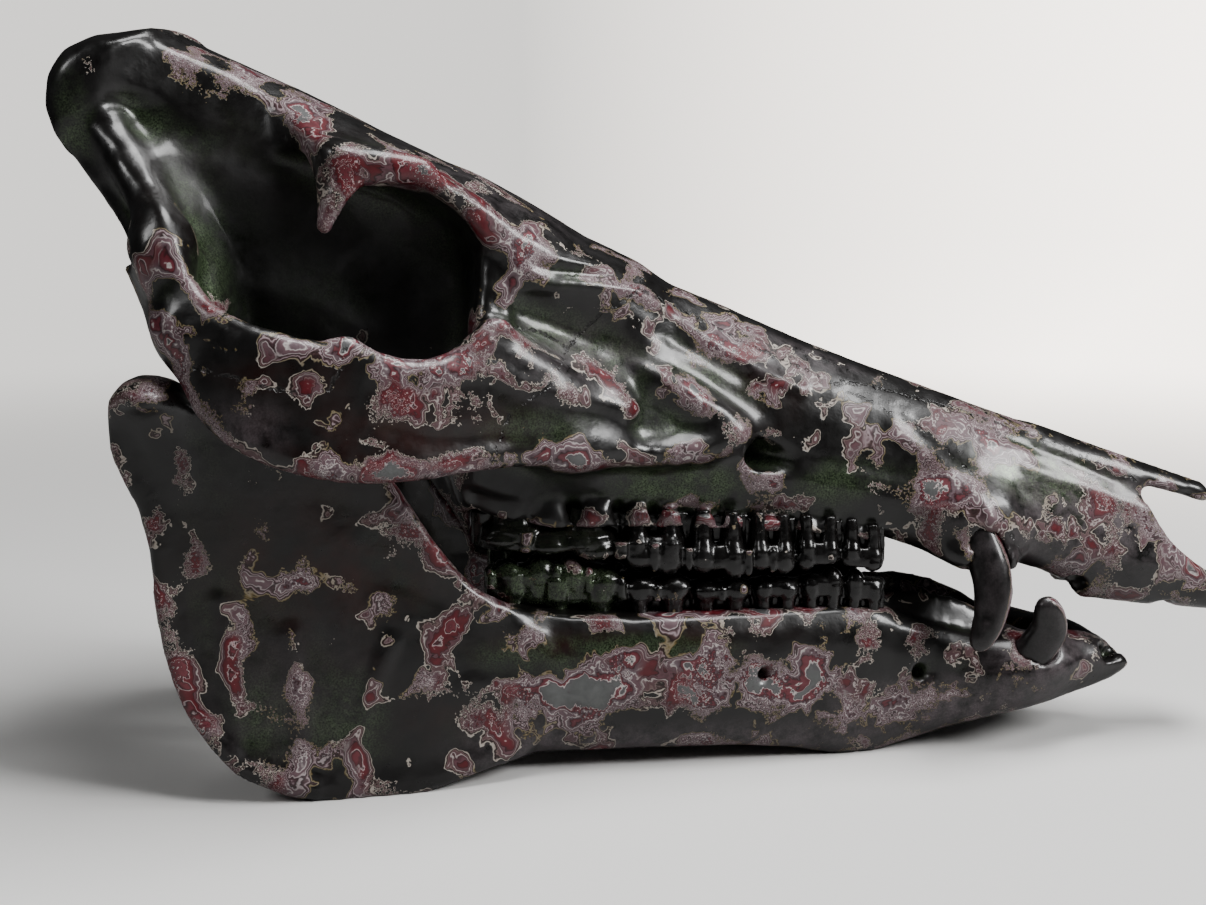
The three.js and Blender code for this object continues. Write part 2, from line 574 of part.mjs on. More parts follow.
// Thins a closed mesh out by collapsing the edge that moves the surface least, until few triangles are
// left.
function thinOut({ positions, triangles }, wanted) {
  const p = Float64Array.from(positions);
  const t = Int32Array.from(triangles);
  const count = p.length / 3;
  const fans = Array.from({ length: count }, () => new Set());
  for (let i = 0; i < t.length; i++) fans[t[i]].add(Math.floor(i / 3));
  const quadrics = new Float64Array(count * 10);
  const stamp = new Int32Array(count);
  const at = (v) => new THREE.Vector3(p[3 * v], p[3 * v + 1], p[3 * v + 2]);
  const edge1 = new THREE.Vector3();
  const edge2 = new THREE.Vector3();
  const normalOf = (a, b, c) => {
    edge1.subVectors(b, a);
    edge2.subVectors(c, a);
    return new THREE.Vector3().crossVectors(edge1, edge2);
  };
  for (let f = 0; f < t.length / 3; f++) {
    const a = at(t[3 * f]);
    const n = normalOf(a, at(t[3 * f + 1]), at(t[3 * f + 2]));
    const area = n.length() / 2;
    if (area < 1e-9) continue;
    n.normalize();
    const plane = [n.x, n.y, n.z, -n.dot(a)];
    for (let corner = 0; corner < 3; corner++) {
      let q = t[3 * f + corner] * 10;
      for (let i = 0; i < 4; i++) for (let j = i; j < 4; j++) quadrics[q++] += area * plane[i] * plane[j];
    }
  }
  const cost = (q, x, y, z) =>
    q[0] * x * x + 2 * q[1] * x * y + 2 * q[2] * x * z + 2 * q[3] * x + q[4] * y * y +
    2 * q[5] * y * z + 2 * q[6] * y + q[7] * z * z + 2 * q[8] * z + q[9];
  const matrix = new THREE.Matrix3();
  const plan = (u, v) => {
    const q = Array.from({ length: 10 }, (_, i) => quadrics[u * 10 + i] + quadrics[v * 10 + i]);
    const a = at(u);
    const b = at(v);
    const length2 = a.distanceToSquared(b);
    const options = [a, b, a.clone().lerp(b, 0.5)];
    matrix.set(q[0], q[1], q[2], q[1], q[4], q[5], q[2], q[5], q[7]);
    if (Math.abs(matrix.determinant()) > 1e-6 * (q[0] + q[4] + q[7]) ** 3) {
      const best = new THREE.Vector3(-q[3], -q[6], -q[8]).applyMatrix3(matrix.invert());
      if (best.distanceToSquared(options[2]) < length2) options.push(best);
    }
    const scored = options.map((o) => ({ o, c: cost(q, o.x, o.y, o.z) + length2 * 0.004 }));
    return scored.reduce((x, y) => (y.c < x.c ? y : x));
  };
  const heap = [];
  const swap = (i, j) => ([heap[i], heap[j]] = [heap[j], heap[i]]);
  const push = (u, v) => {
    const { o, c } = plan(u, v);
    heap.push({ u, v, o, c, su: stamp[u], sv: stamp[v] });
    for (let i = heap.length - 1, up; i > 0 && heap[(up = (i - 1) >> 1)].c > heap[i].c; i = up) swap(i, up);
  };
  const pop = () => {
    const first = heap[0];
    const last = heap.pop();
    if (heap.length) {
      heap[0] = last;
      for (let i = 0; ; ) {
        let least = i;
        for (const kid of [2 * i + 1, 2 * i + 2])
          if (kid < heap.length && heap[kid].c < heap[least].c) least = kid;
        if (least === i) break;
        swap(i, least);
        i = least;
      }
    }
    return first;
  };
  const around = (v) => {
    const found = new Set();
    for (const f of fans[v]) for (let i = 0; i < 3; i++) found.add(t[3 * f + i]);
    found.delete(v);
    return found;
  };
  const turnsOver = (v, other, place) => {
    for (const f of fans[v]) {
      const corners = [t[3 * f], t[3 * f + 1], t[3 * f + 2]];
      if (corners.includes(other)) continue;
      const before = normalOf(...corners.map(at));
      const after = normalOf(...corners.map((c) => (c === v ? place : at(c))));
      if (before.dot(after) < 0.3 * before.length() * after.length()) return true;
    }
    return false;
  };
  for (let v = 0; v < count; v++) for (const n of around(v)) if (v < n) push(v, n);
  let left = t.length / 3;
  while (left > wanted && heap.length) {
    const { u, v, o, su, sv } = pop();
    if (stamp[u] !== su || stamp[v] !== sv) continue;
    const near = around(v);
    if ([...around(u)].filter((n) => near.has(n)).length !== 2) continue;
    if (turnsOver(u, v, o) || turnsOver(v, u, o)) continue;
    for (const f of fans[v]) {
      if (fans[u].has(f)) {
        for (let i = 0; i < 3; i++) fans[t[3 * f + i]].delete(f);
        t.fill(-1, 3 * f, 3 * f + 3);
        left--;
      } else {
        for (let i = 0; i < 3; i++) if (t[3 * f + i] === v) t[3 * f + i] = u;
        fans[u].add(f);
      }
    }
    fans[v] = new Set();
    p.set([o.x, o.y, o.z], 3 * u);
    for (let i = 0; i < 10; i++) quadrics[u * 10 + i] += quadrics[v * 10 + i];
    stamp[v] = -1;
    stamp[u]++;
    for (const n of around(u)) push(u, n);
  }
  return { positions: Array.from(p), triangles: Array.from(t).filter((i) => i >= 0) };
}

// Solids

function solidOf({ positions, triangles }) {
  const used = new Map();
  for (const i of triangles) if (!used.has(i)) used.set(i, used.size);
  const triVerts = new Uint32Array(triangles.map((i) => used.get(i)));
  const vertProperties = new Float32Array(used.size * 3);
  for (const [from, to] of used) vertProperties.set(positions.slice(3 * from, 3 * from + 3), 3 * to);
  return new wasm.Manifold(new wasm.Mesh({ numProp: 3, vertProperties, triVerts }));
}

function solidFrom(geometry) {
  const bare = new THREE.BufferGeometry();
  bare.setAttribute("position", geometry.attributes.position);
  if (geometry.index) bare.setIndex(geometry.index);
  const merged = mergeVertices(bare, 1e-3);
  const triangles = [];
  for (let i = 0; i < merged.index.count; i += 3) {
    const [a, b, c] = [0, 1, 2].map((n) => merged.index.getX(i + n));
    if (a !== b && b !== c && c !== a) triangles.push(a, b, c);
  }
  return solidOf({ positions: Array.from(merged.attributes.position.array), triangles });
}

function mirrored(solid) {
  const { vertProperties, triVerts } = solid.getMesh();
  const positions = Array.from(vertProperties, (v, i) => (i % 3 === 1 ? -v : v));
  const triangles = Array.from(triVerts, (_, i) => triVerts[i - (i % 3) + ((3 - (i % 3)) % 3)]);
  return solidOf({ positions, triangles });
}

function block([x0, y0, z0], [x1, y1, z1]) {
  const box = new THREE.BoxGeometry(x1 - x0, y1 - y0, z1 - z0);
  return solidFrom(box.translate((x0 + x1) / 2, (y0 + y1) / 2, (z0 + z1) / 2));
}

// A side-view outline of [x, z] points, grown outwards, standing from one distance off the midplane to
// another
function prism(points, from, to, grown) {
  const corners = points.map(([x, z]) => new THREE.Vector2(x, z));
  if (THREE.ShapeUtils.isClockWise(corners)) corners.reverse();
  const shape = new THREE.Shape(
    corners.map((corner, i) => {
      const before = corners[(i + corners.length - 1) % corners.length];
      const after = corners[(i + 1) % corners.length];
      const a = new THREE.Vector2(corner.y - before.y, before.x - corner.x).normalize();
      const b = new THREE.Vector2(after.y - corner.y, corner.x - after.x).normalize();
      return corner.clone().addScaledVector(a.clone().add(b), grown / (1 + a.dot(b)));
    }),
  );
  const geometry = new THREE.ExtrudeGeometry(shape, { depth: to - from + 2 * grown, bevelEnabled: false });
  return solidFrom(geometry.rotateX(Math.PI / 2).translate(0, to + grown, 0));
}

const largest = (solid) => solid.decompose().reduce((a, b) => (b.volume() > a.volume() ? b : a));

// Parts a solid at a suture: the piece inside the outline and the rest, with a thin gap between them.
function partAt(solid, points, from = -20) {
  const inside = solid.intersect(prism(points, from, SIDE, 0));
  const outside = solid.subtract(prism(points, from, SIDE, SUTURE_GAP));
  return [largest(inside), largest(outside)];
}

// Teeth

// One cusp: a lathed bud with its root below the gum line. up is 1 for the lower jaw and -1 for the upper.
function cusp([x, w, z], [rx, rw], height, root, up) {
  const bud = [[0, -root], [0.6, -root], [1, 0.45 * height], [0.7, 0.86 * height], [0, height]];
  const curve = bud.map(([r, h]) => new THREE.Vector2(r, h));
  const lathe = new THREE.LatheGeometry(curve, CUSP_SIDES, Math.PI / CUSP_SIDES);
  return solidFrom(lathe.scale(rx, 1, rw).rotateX((up * Math.PI) / 2).translate(x, w, z));
}

// The height at which the cheek teeth meet
const bite = along([
  [-40, 64.5], [-15, 63.6], [-2, 61.2], [12, 58], [33, 56.6], [50, 57.3], [66, 58], [80, 56.5], [88, 56],
]);

// Cheek teeth from the last molar to the first premolar: [rear x, front x, w, width, rows of cusps,
// columns]
const UPPER_TEETH = [
  [-38, 3.5, 24.5, 17, 3, 2],
  [4, 23, 25, 16.5, 2, 2],
  [24.5, 41.5, 25, 14.5, 2, 2],
  [42, 55.8, 24.8, 12.5, 1, 2],
  [56.5, 69.8, 24, 8.5, 2, 1],
  [70.8, 83, 22.8, 6.5, 2, 1],
];
const LOWER_TEETH = [
  [-34.5, 3.5, 25, 14.5, 3, 2],
  [5.4, 24.6, 25, 13.5, 2, 2],
  [26, 41.5, 24, 11.5, 2, 2],
  [44.5, 57.5, 23.2, 9, 2, 1],
  [59.3, 71, 22, 7, 2, 1],
  [72.6, 83, 20.8, 5.5, 2, 1],
];
const TOOTH_ROOT = 7;
const BITE_GAP = 0.5;
const TIP_DROP = [0, 1.1, 0.4, 1.5];

function cheekTeeth(teeth, neck, up) {
  const buds = [];
  for (const [rear, front, w, width, rows, columns] of teeth) {
    const long = (front - rear) / rows;
    const across = width / columns;
    for (let row = 0; row < rows; row++)
      for (let column = 0; column < columns; column++) {
        const x = rear + (row + 0.5) * long;
        const last = rows === 3 && row === 0;
        const cuspW = w + (column - (columns - 1) / 2) * across * (last ? 0.7 : 0.94);
        const z = neck(x);
        const height = Math.abs(bite(x) - z) - BITE_GAP - TIP_DROP[(row + 2 * column) % 4];
        const reach = [long * (rows === 1 ? 0.52 : 0.58), across * (columns === 1 ? 0.5 : 0.58)];
        buds.push(cusp([x, cuspW, z], reach, height, TOOTH_ROOT, up));
      }
  }
  return buds.reduce((all, bud) => all.add(bud));
}

// A tusk that tapers along a curve through a few points. swell widens it for the socket.
function tusk(points, radii, flatness, swell) {
  const curve = new THREE.CatmullRomCurve3(points.map((p) => new THREE.Vector3(...p)));
  const radius = along(radii);
  const bud = [new THREE.Vector2(0, 0)];
  for (let i = 0; i < TUSK_RINGS; i++) bud.push(new THREE.Vector2(1, i / TUSK_RINGS));
  bud.push(new THREE.Vector2(0, 1));
  const lathe = new THREE.LatheGeometry(bud, TUSK_SIDES);
  const place = lathe.attributes.position;
  const side = new THREE.Vector3(0, 1, 0);
  for (let i = 0; i < place.count; i++) {
    const t = clamp(place.getY(i), 0, 1);
    const forward = curve.getTangentAt(t);
    const across = side.clone().addScaledVector(forward, -side.dot(forward)).normalize();
    const front = new THREE.Vector3().crossVectors(forward, across);
    const size = radius(t * 100) + swell;
    const end = curve.getPointAt(t).addScaledVector(forward, t > 0.5 ? swell : -swell);
    end.addScaledVector(front, place.getX(i) * size).addScaledVector(across, place.getZ(i) * size * flatness);
    place.setXYZ(i, end.x, end.y, end.z);
  }
  return solidFrom(lathe);
}

const upperTusk = (swell) =>
  tusk([[108, 24, 76], [112, 28, 66], [114.5, 31.5, 56], [113.6, 34, 46], [109.2, 36, 35.5]],
    [[0, 5.4], [40, 6.1], [65, 5.4], [85, 4], [96, 3], [100, 1.8]], 0.8, swell);
const lowerTusk = (swell) =>
  tusk([[116, 18.5, 17], [125.5, 20.5, 24], [131.5, 23, 32], [134.4, 26, 40], [131.6, 29.5, 49.5]],
    [[0, 5.4], [45, 6], [72, 5.5], [90, 4], [97, 3], [100, 1.8]], 0.8, swell);

// The bones of the left side

const reach = [ARCH_HALF_WIDTH + 8, SKULL_TOP + 6];
const craniumField = thinOut(
  meshField(cranium(), [SKULL_REAR - 6, -MIDLINE_OVERLAP - 3, 34], [SKULL_FRONT + 6, ...reach], CRANIUM_STEP),
  CRANIUM_TRIANGLES,
);
const jawField = thinOut(
  meshField(jaw(), [-142, -MIDLINE_OVERLAP - 3, -6], [174, 76, 138], JAW_STEP),
  JAW_TRIANGLES,
);

const pastMidline = block([-300, -20, -50], [300, 0, 300]);
const pastSuture = block([-300, -20, -50], [300, SUTURE_GAP / 2, 300]);
const belowTable = block([-300, -20, -50], [300, SIDE, 0]);

const CHEEKBONE = [
  [-48, 142], [-38, 136], [-27, 130], [-14, 121], [-5, 110], [0, 99], [4, 88], [-60, 80], [-125, 95],
  [-124, 124.5],
  [-113, 124.2], [-98, 121.2], [-88, 118.5], [-80, 117], [-74, 119], [-71.5, 124], [-70, 142],
];
const FACE = [
  [12, 160], [11, 148], [9, 142], [-4, 134], [-12, 126], [-17, 117], [-28, 110], [-60, 107], [-60, 30],
  [230, 30],
  [230, 160],
];
const NASAL = [
  [0, 170], [5, 146], [10, 141.8], [21, 136.2], [45, 124.2], [66, 114.6], [82, 112], [107, 105.2],
  [132, 96.4],
  [151, 88.6], [165, 82.2], [172, 76], [230, 60], [230, 170],
];
const PREMAXILLA = [
  [60, 122], [66, 114], [78, 109], [91, 102], [99, 97], [111, 85], [121, 68], [127, 58], [130, 30],
  [230, 30],
  [230, 122],
];

const [jugal, withoutJugal] = partAt(solidOf(craniumField), CHEEKBONE, 38.5);
const [muzzle, rearHalf] = partAt(withoutJugal, FACE);
const [nasal, belowNasal] = partAt(muzzle.subtract(pastSuture), NASAL);
const [premaxilla, maxillaBone] = partAt(belowNasal, PREMAXILLA);
const braincaseHalf = rearHalf.subtract(pastMidline);
const braincaseSolid = largest(braincaseHalf.add(mirrored(braincaseHalf)));
const upperTeeth = cheekTeeth(UPPER_TEETH, mouthEdge, -1);
const maxilla = largest(maxillaBone.add(upperTeeth).subtract(upperTusk(SUTURE_GAP)));
const jawNeck = along([[-40, 48.5], [10, 48], [50, 47], [88, 45]]);
const jawTop = solidOf(jawField).subtract(pastSuture).subtract(belowTable);
const mandible = largest(jawTop.add(cheekTeeth(LOWER_TEETH, jawNeck, 1)).subtract(lowerTusk(SUTURE_GAP)));

const LACQUER = { color: "#2b2523", roughness: 0.24, metalness: 0.15 };
const LACQUER_RED = { color: "#3a2422", roughness: 0.24, metalness: 0.15 };
const TUSK = { color: "#3d3a3b", roughness: 0.42, metalness: 0.1 };

const skull = new THREE.Group();
function addNode(name, solid, finish) {
  const { vertProperties, triVerts } = solid.getMesh();
  const geometry = new THREE.BufferGeometry();
  geometry.setAttribute("position", new THREE.BufferAttribute(new Float32Array(vertProperties), 3));
  geometry.setIndex(new THREE.BufferAttribute(new Uint32Array(triVerts), 1));
  const mesh = new THREE.Mesh(geometry, new THREE.MeshStandardMaterial(finish));
  mesh.name = name;
  skull.add(mesh);
}

addNode("braincase", braincaseSolid, LACQUER);
for (const [name, solid, finish] of [
  ["cheekbone", jugal, LACQUER_RED],
  ["nasal_bone", nasal, LACQUER],
  ["premaxilla", premaxilla, LACQUER],
  ["maxilla", maxilla, LACQUER],
  ["mandible", mandible, LACQUER_RED],
  ["lower_canine", lowerTusk(0), TUSK],
]) {
  addNode(`${name}_left`, solid, finish);
  addNode(`${name}_right`, mirrored(solid), finish);
}

// The left upper tusk has fallen out and left its socket empty.
addNode("upper_canine_right", mirrored(upperTusk(0)), TUSK);

// The origin is under the middle of the skull, at the level it rests on.
const box = new THREE.Box3().setFromObject(skull);
const middle = box.getCenter(new THREE.Vector3());
for (const bone of skull.children) bone.geometry.translate(-middle.x, 0, -box.min.z);

export default skull;
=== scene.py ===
# %% [markdown]
# A pig's skull, life size, resting on its own lower jaw. The bone has been coated with many thin layers of
# coloured lacquer and then rubbed down and polished, so each high place shows rings of the layers under the
# black. The solids of the frame hold the bones' real shapes and sizes. This lesson melts them into smooth
# bone, carves the small forms, makes the teeth, and mixes the lacquer.

import math
from collections import namedtuple

import bmesh
import bpy
import numpy as np
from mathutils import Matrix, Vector


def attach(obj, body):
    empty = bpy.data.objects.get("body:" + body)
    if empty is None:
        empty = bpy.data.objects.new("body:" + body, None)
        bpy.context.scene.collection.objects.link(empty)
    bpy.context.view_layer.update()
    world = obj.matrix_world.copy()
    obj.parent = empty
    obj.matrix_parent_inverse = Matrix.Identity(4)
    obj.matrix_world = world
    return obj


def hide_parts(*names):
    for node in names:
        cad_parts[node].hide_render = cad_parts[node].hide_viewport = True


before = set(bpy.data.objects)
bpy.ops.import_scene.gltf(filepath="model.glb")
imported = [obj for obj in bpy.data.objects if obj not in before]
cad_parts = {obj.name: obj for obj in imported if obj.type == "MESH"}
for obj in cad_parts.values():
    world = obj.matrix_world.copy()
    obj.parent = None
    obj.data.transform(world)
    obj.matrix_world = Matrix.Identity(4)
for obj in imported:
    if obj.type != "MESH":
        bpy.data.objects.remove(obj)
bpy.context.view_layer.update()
scene = bpy.context.scene
MM = 0.001
# The skull was measured from a point near its eye. The frame's origin lies a little further forward.
SHIFT = np.array([21.965, 0.0, 0.0])

# %% [markdown]
# The camera looks at the animal's right side from a little above and close by, as a phone at arm's length does.
# The closeness is what makes the near cheek look large beside the snout.

# %% The camera
TARGET = Vector((-0.0219, 0, 0.0905))
DISTANCE = 0.467
AZIMUTH, ELEVATION = math.radians(-3), math.radians(8.5)

camera = bpy.data.objects.new("Camera", bpy.data.cameras.new("Camera"))
scene.collection.objects.link(camera)
camera.data.sensor_width = 36
camera.data.lens = 44.78
camera.data.clip_start = 0.01
level = math.cos(ELEVATION)
towards = Vector((math.sin(AZIMUTH) * level, -math.cos(AZIMUTH) * level, math.sin(ELEVATION)))
camera.location = TARGET + towards * DISTANCE
camera.rotation_mode = "QUATERNION"
camera.rotation_quaternion = (-towards).to_track_quat("-Z", "Y")
scene.camera = camera
print("camera at, mm:", [round(v / MM) for v in camera.location])

# %% [markdown]
# Every shape below is worked on as arrays of numbers, in millimetres: x forward, y to the animal's left, z up.
# Most tools only ask for w, the distance from the midplane, as both sides are alike. Sculpting by hand would do
# as well, but numbers can be changed and run again.

# %% Reading a mesh as arrays, and writing it back
def read_points(mesh):
    points = np.empty(len(mesh.vertices) * 3)
    mesh.vertices.foreach_get("co", points)
    return points.reshape(-1, 3) / MM + SHIFT


def write_points(mesh, points):
    mesh.vertices.foreach_set("co", ((points - SHIFT) * MM).astype(np.float32).ravel())
    mesh.update()


def read_normals(mesh):
    normals = np.empty(len(mesh.vertices) * 3, np.float32)
    mesh.vertex_normals.foreach_get("vector", normals)
    return normals.reshape(-1, 3).astype(float)


def in_frame(spot):
    """A spot told in the skull's millimetres, as a point of the frame."""
    return (Vector(spot) - Vector(SHIFT)) * MM


# %% [markdown]
# Moving each point towards the mean of its neighbours smooths a surface but also shrinks it, so each round of
# smoothing ends with a small push the other way.

# %% Neighbours and smoothing
def neighbour_mean(mesh):
    """A function that gives each point the mean of its neighbours' values."""
    edges = np.empty(len(mesh.edges) * 2, np.int32)
    mesh.edges.foreach_get("vertices", edges)
    a, b = edges.reshape(-1, 2).T
    ends, others = np.concatenate([a, b]), np.concatenate([b, a])
    size = len(mesh.vertices)
    count = np.maximum(np.bincount(ends, minlength=size), 1)[:, None]
    return lambda v: np.stack([np.bincount(ends, column[others], size) for column in v.T], 1) / count


def relax(mesh, rounds, draw=0.6, push=0.62):
    mean = neighbour_mean(mesh)
    points = read_points(mesh)
    for step in [draw, -push] * rounds:
        points += step * (mean(points) - points)
    write_points(mesh, points)


# %% [markdown]
# Soft strokes and patches need a distance from a line, and a fade with that distance. Random swells come from a
# grid of random numbers, smoothed between.

# %% Distances, soft edges and random swells
def fall(distance, reach):
    """1 at no distance, 0 at the reach and beyond, smooth between."""
    t = np.clip(1 - distance / reach, 0, 1)
    return t * t * (3 - 2 * t)


def rise(value, start, full):
    """0 before the start, 1 from the full value on, even between."""
    return np.clip((value - start) / (full - start), 0, 1)


def along(*pairs):
    """A function that reads a value off a line through a few pairs of place and value."""
    places, values = np.array(pairs, float).T
    return lambda x: np.interp(x, places, values)


def to_path(places, path):
    """How far each place is from a line through a few points."""
    path = np.asarray(path, float)
    nearest = np.full(len(places), np.inf)
    for a, b in zip(path[:-1], path[1:]):
        t = np.clip((places - a) @ (b - a) / ((b - a) @ (b - a)), 0, 1)
        nearest = np.minimum(nearest, np.linalg.norm(places - a - t[:, None] * (b - a), axis=1))
    return nearest


# Large numbers that turn a grid cell's place into one of many steps, as if by chance.
CELL_KEYS, MIXER, STEPS = np.array([73856093, 19349663, 83492791]), 1274126177, 65521


def grain(points, size, seed):
    """Smooth random values from -1 to 1 that change over about the given size."""
    p = points / size + seed * 17.31
    cell = np.floor(p).astype(np.int64)
    f = p - cell
    f = f * f * (3 - 2 * f)
    total = np.zeros(len(points))
    for corner in range(8):
        step = np.array([corner & 1, corner >> 1 & 1, corner >> 2])
        key = (cell + step) @ CELL_KEYS
        value = (key ^ (key >> 13)) * MIXER % STEPS / (STEPS / 2) - 1
        total += value * np.prod(np.where(step, f, 1 - f), axis=1)
    return total


NEAR_FLOOR, FLOOR_SHARE = 3.5, 0.2


def roughen(piece, swells):
    """Adds random swells, given as [height, size, seed], and weaker ones near the floor."""
    points, normals = read_points(piece.data), read_normals(piece.data)
    lift = sum(height * grain(points, size, seed) for height, size, seed in swells)
    lift = np.where(points[:, 2] < NEAR_FLOOR, np.clip(lift, 0, None) * FLOOR_SHARE, lift)
    write_points(piece.data, points + normals * lift[:, None])


# %% [markdown]
# Bone has no hard edges except where it is broken, and its seams are fine lines, not gaps. Here copies of the
# solids are joined, remeshed to an even net of small squares and relaxed. The flat facets and the gaps melt
# away while the real forms stay.

# %% Melting a mesh to an even net
def remeshed(piece, voxel, rounds):
    remesh = piece.modifiers.new("melt", "REMESH")
    remesh.mode = "VOXEL"
    remesh.voxel_size = voxel * MM
    seen = piece.evaluated_get(bpy.context.evaluated_depsgraph_get())
    piece.data = bpy.data.meshes.new_from_object(seen)
    piece.modifiers.clear()
    piece.data.polygons.foreach_set("use_smooth", [True] * len(piece.data.polygons))
    relax(piece.data, rounds)
    print(piece.name, len(piece.data.polygons), "faces")


def new_piece(name, net):
    mesh = bpy.data.meshes.new(name)
    net.to_mesh(mesh)
    net.free()
    piece = bpy.data.objects.new(name, mesh)
    scene.collection.objects.link(piece)
    return piece


# %% [markdown]
# The horn of bone behind the eye is broad where it leaves the brow and thin at its tip. Its stack of ovals joins
# the skull before the melting, so that no seam shows.

# %% The horn of bone behind the eye
EYE_HORN = (
    [(-69, 50, 175.5), (-72, 52, 171), (-74.5, 53.2, 166), (-76.2, 54, 161), (-76.8, 54, 157.5)],
    [(7.5, 3), (5.2, 3.2), (3.4, 2.8), (2.2, 2.2), (1.2, 1.2)],
)


def blade(net, points, radii, sides=12):
    """A tapered stack of ovals along a few points, on both sides. radii are [along, across]."""
    turns = [2 * math.pi * i / sides for i in range(sides)]
    for side in (1, -1):
        rings = []
        for (x, w, z), (long, thick) in zip(points, radii):
            spots = [(x + long * math.cos(t), side * (w + thick * math.sin(t)), z) for t in turns]
            rings.append([net.verts.new(in_frame(spot)) for spot in spots])
        faces = [rings[0], rings[-1][::-1]]
        for high, low in zip(rings, rings[1:]):
            faces += [(high[i], low[i], low[(i + 1) % sides], high[(i + 1) % sides]) for i in range(sides)]
        for face in faces:
            net.faces.new(face[::-side])


# %% [markdown]
# The solids carry blunt stand-ins for the cheek teeth. Real teeth are made further down, so the stand-ins are
# pressed flat into the gum line before the bone is melted for good. The upper ones' roots bulge past the bone
# and are drawn in to it.

# %% Pressing the stand-ins into the gum line
ROW_REAR, ROW_FRONT, ROW_HALF = -41, 85.5, 11  # The row of teeth: its two ends and half its width.
TOOTH_ROW = along((-38, 24.6), (24, 25), (56, 24), (83, 21.5))
SUNK, LEFT_OVER = 0.8, 0.02  # How far under the gum line the stand-ins end, and the share kept of their height.
FOOT_SLOPE, FOOT_DEPTH, FOOT_LEFT_OVER = 0.3, 8, 0.1  # The same for their roots, over so much of the bone.


def press_teeth(mesh, gum_line, up, foot):
    """up is the way the teeth point, and the foot is how far out the bone itself reaches at the gum line."""
    points = read_points(mesh)
    x, w = points[:, 0], np.abs(points[:, 1])
    gum = gum_line(x)
    height = points[:, 2] - gum
    among_teeth = (x > ROW_REAR) & (x < ROW_FRONT) & (w > TOOTH_ROW(x) - ROW_HALF) & (w < TOOTH_ROW(x) + ROW_HALF)
    past_gum = among_teeth & (height * up > -SUNK)
    points[past_gum, 2] = (gum - up * SUNK + LEFT_OVER * height)[past_gum]
    if foot:
        into_bone = (gum - points[:, 2]) * up
        limit = foot(x) + FOOT_SLOPE * into_bone
        at_foot = among_teeth & (into_bone < FOOT_DEPTH) & (w > limit)
        points[at_foot, 1] = (np.sign(points[:, 1]) * (limit + FOOT_LEFT_OVER * (w - limit)))[at_foot]
    write_points(mesh, points)


# %% From solids to smooth bone
SIDES = {"left": 1, "right": -1}
SKULL_BONES = ("cheekbone", "nasal_bone", "premaxilla", "maxilla")
SKULL_NODES = ["braincase"] + [f"{bone}_{side}" for bone in SKULL_BONES for side in SIDES]
JAW_NODES = [f"mandible_{side}" for side in SIDES]
UPPER_GUM = along(
    (-45, 80), (-30, 74.5), (-14, 72), (0, 72.5), (30, 71.2), (50, 69.8), (72, 68), (82, 65), (98, 60.5)
)
LOWER_GUM = along((-40, 52.5), (-30, 51), (-14, 48.6), (10, 47.4), (50, 47.2), (72, 46.8), (88, 45))
UPPER_FOOT = along((-40, 29.6), (-20, 31.4), (10, 30.4), (30, 28.6), (60, 26), (84, 24.6))


def melted(name, nodes, gum_line, up, foot=None, blades=(), voxel=1.2, rounds=12):
    """One smooth piece made from copies of the frame's solids, without their cheek teeth."""
    net = bmesh.new()
    for node in nodes:
        net.from_mesh(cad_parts[node].data)
    bmesh.ops.remove_doubles(net, verts=net.verts, dist=0.00001)
    for points, radii in blades:
        blade(net, points, radii)
    piece = new_piece(name, net)
    remeshed(piece, voxel, 0)
    press_teeth(piece.data, gum_line, up, foot)
    remeshed(piece, voxel, rounds)
    return piece


skull = melted("skull", SKULL_NODES, UPPER_GUM, -1, UPPER_FOOT, [EYE_HORN])
jaw = melted("lower_jaw", JAW_NODES, LOWER_GUM, 1)

# %% [markdown]
# The rear edge of the crest, where the neck was tied, is one smooth line on the real bone. What lies past it is
# drawn most of the way back, and the skull is relaxed once more.

# %% The rear edge of the crest
CREST_FOOT, DRAWN_BACK = 150, 0.8
CREST_REAR = along(
    (150, -127), (159, -133), (166, -138), (173, -143), (179, -147), (185, -151), (192, -154), (220, -154)
)
points = read_points(skull.data)
past_edge = np.clip(CREST_REAR(points[:, 2]) - points[:, 0], 0, None) * (points[:, 2] > CREST_FOOT)
points[:, 0] += past_edge * DRAWN_BACK
write_points(skull.data, points)
relax(skull.data, 3)
print("drawn in by up to, mm:", round(past_edge.max() * DRAWN_BACK, 1))

# %% [markdown]
# Between the teeth and the tusk the lower jaw is a shallow trough. Its rim on the tongue's side stands higher, so
# it shows from the side as a second line.

# %% The inner rim of the lower jaw
RIM_LIFT = along((80, 0), (86, 4), (96, 6.5), (108, 6.5), (120, 4), (130, 0))
points = read_points(jaw.data)
inner_side = rise(np.abs(points[:, 1]), 18, 14) * rise(points[:, 2], 28, 37)
points[:, 2] += RIM_LIFT(points[:, 0]) * inner_side
write_points(jaw.data, points)
print("rim raised on", np.count_nonzero(inner_side), "points")

# %% [markdown]
# Ridges rise where muscles and tendons were tied to the bone, and grooves are where vessels lay. Each is a soft
# stroke that lifts or lowers the surface near a path. The paths are given as they show from the side, with their
# reach and height.

# %% Ridges and grooves
def stroke(piece, path, reach, height, least_w=8):
    """Moves the bone near a side-view path out by a height, or in if it is negative."""
    points, normals = read_points(piece.data), read_normals(piece.data)
    outward = np.clip(normals[:, 1] * np.sign(points[:, 1]) * 3, 0, 1) * (np.abs(points[:, 1]) > least_w)
    amount = fall(to_path(points[:, [0, 2]], path), reach) * outward
    write_points(piece.data, points + normals * (amount * height)[:, None])


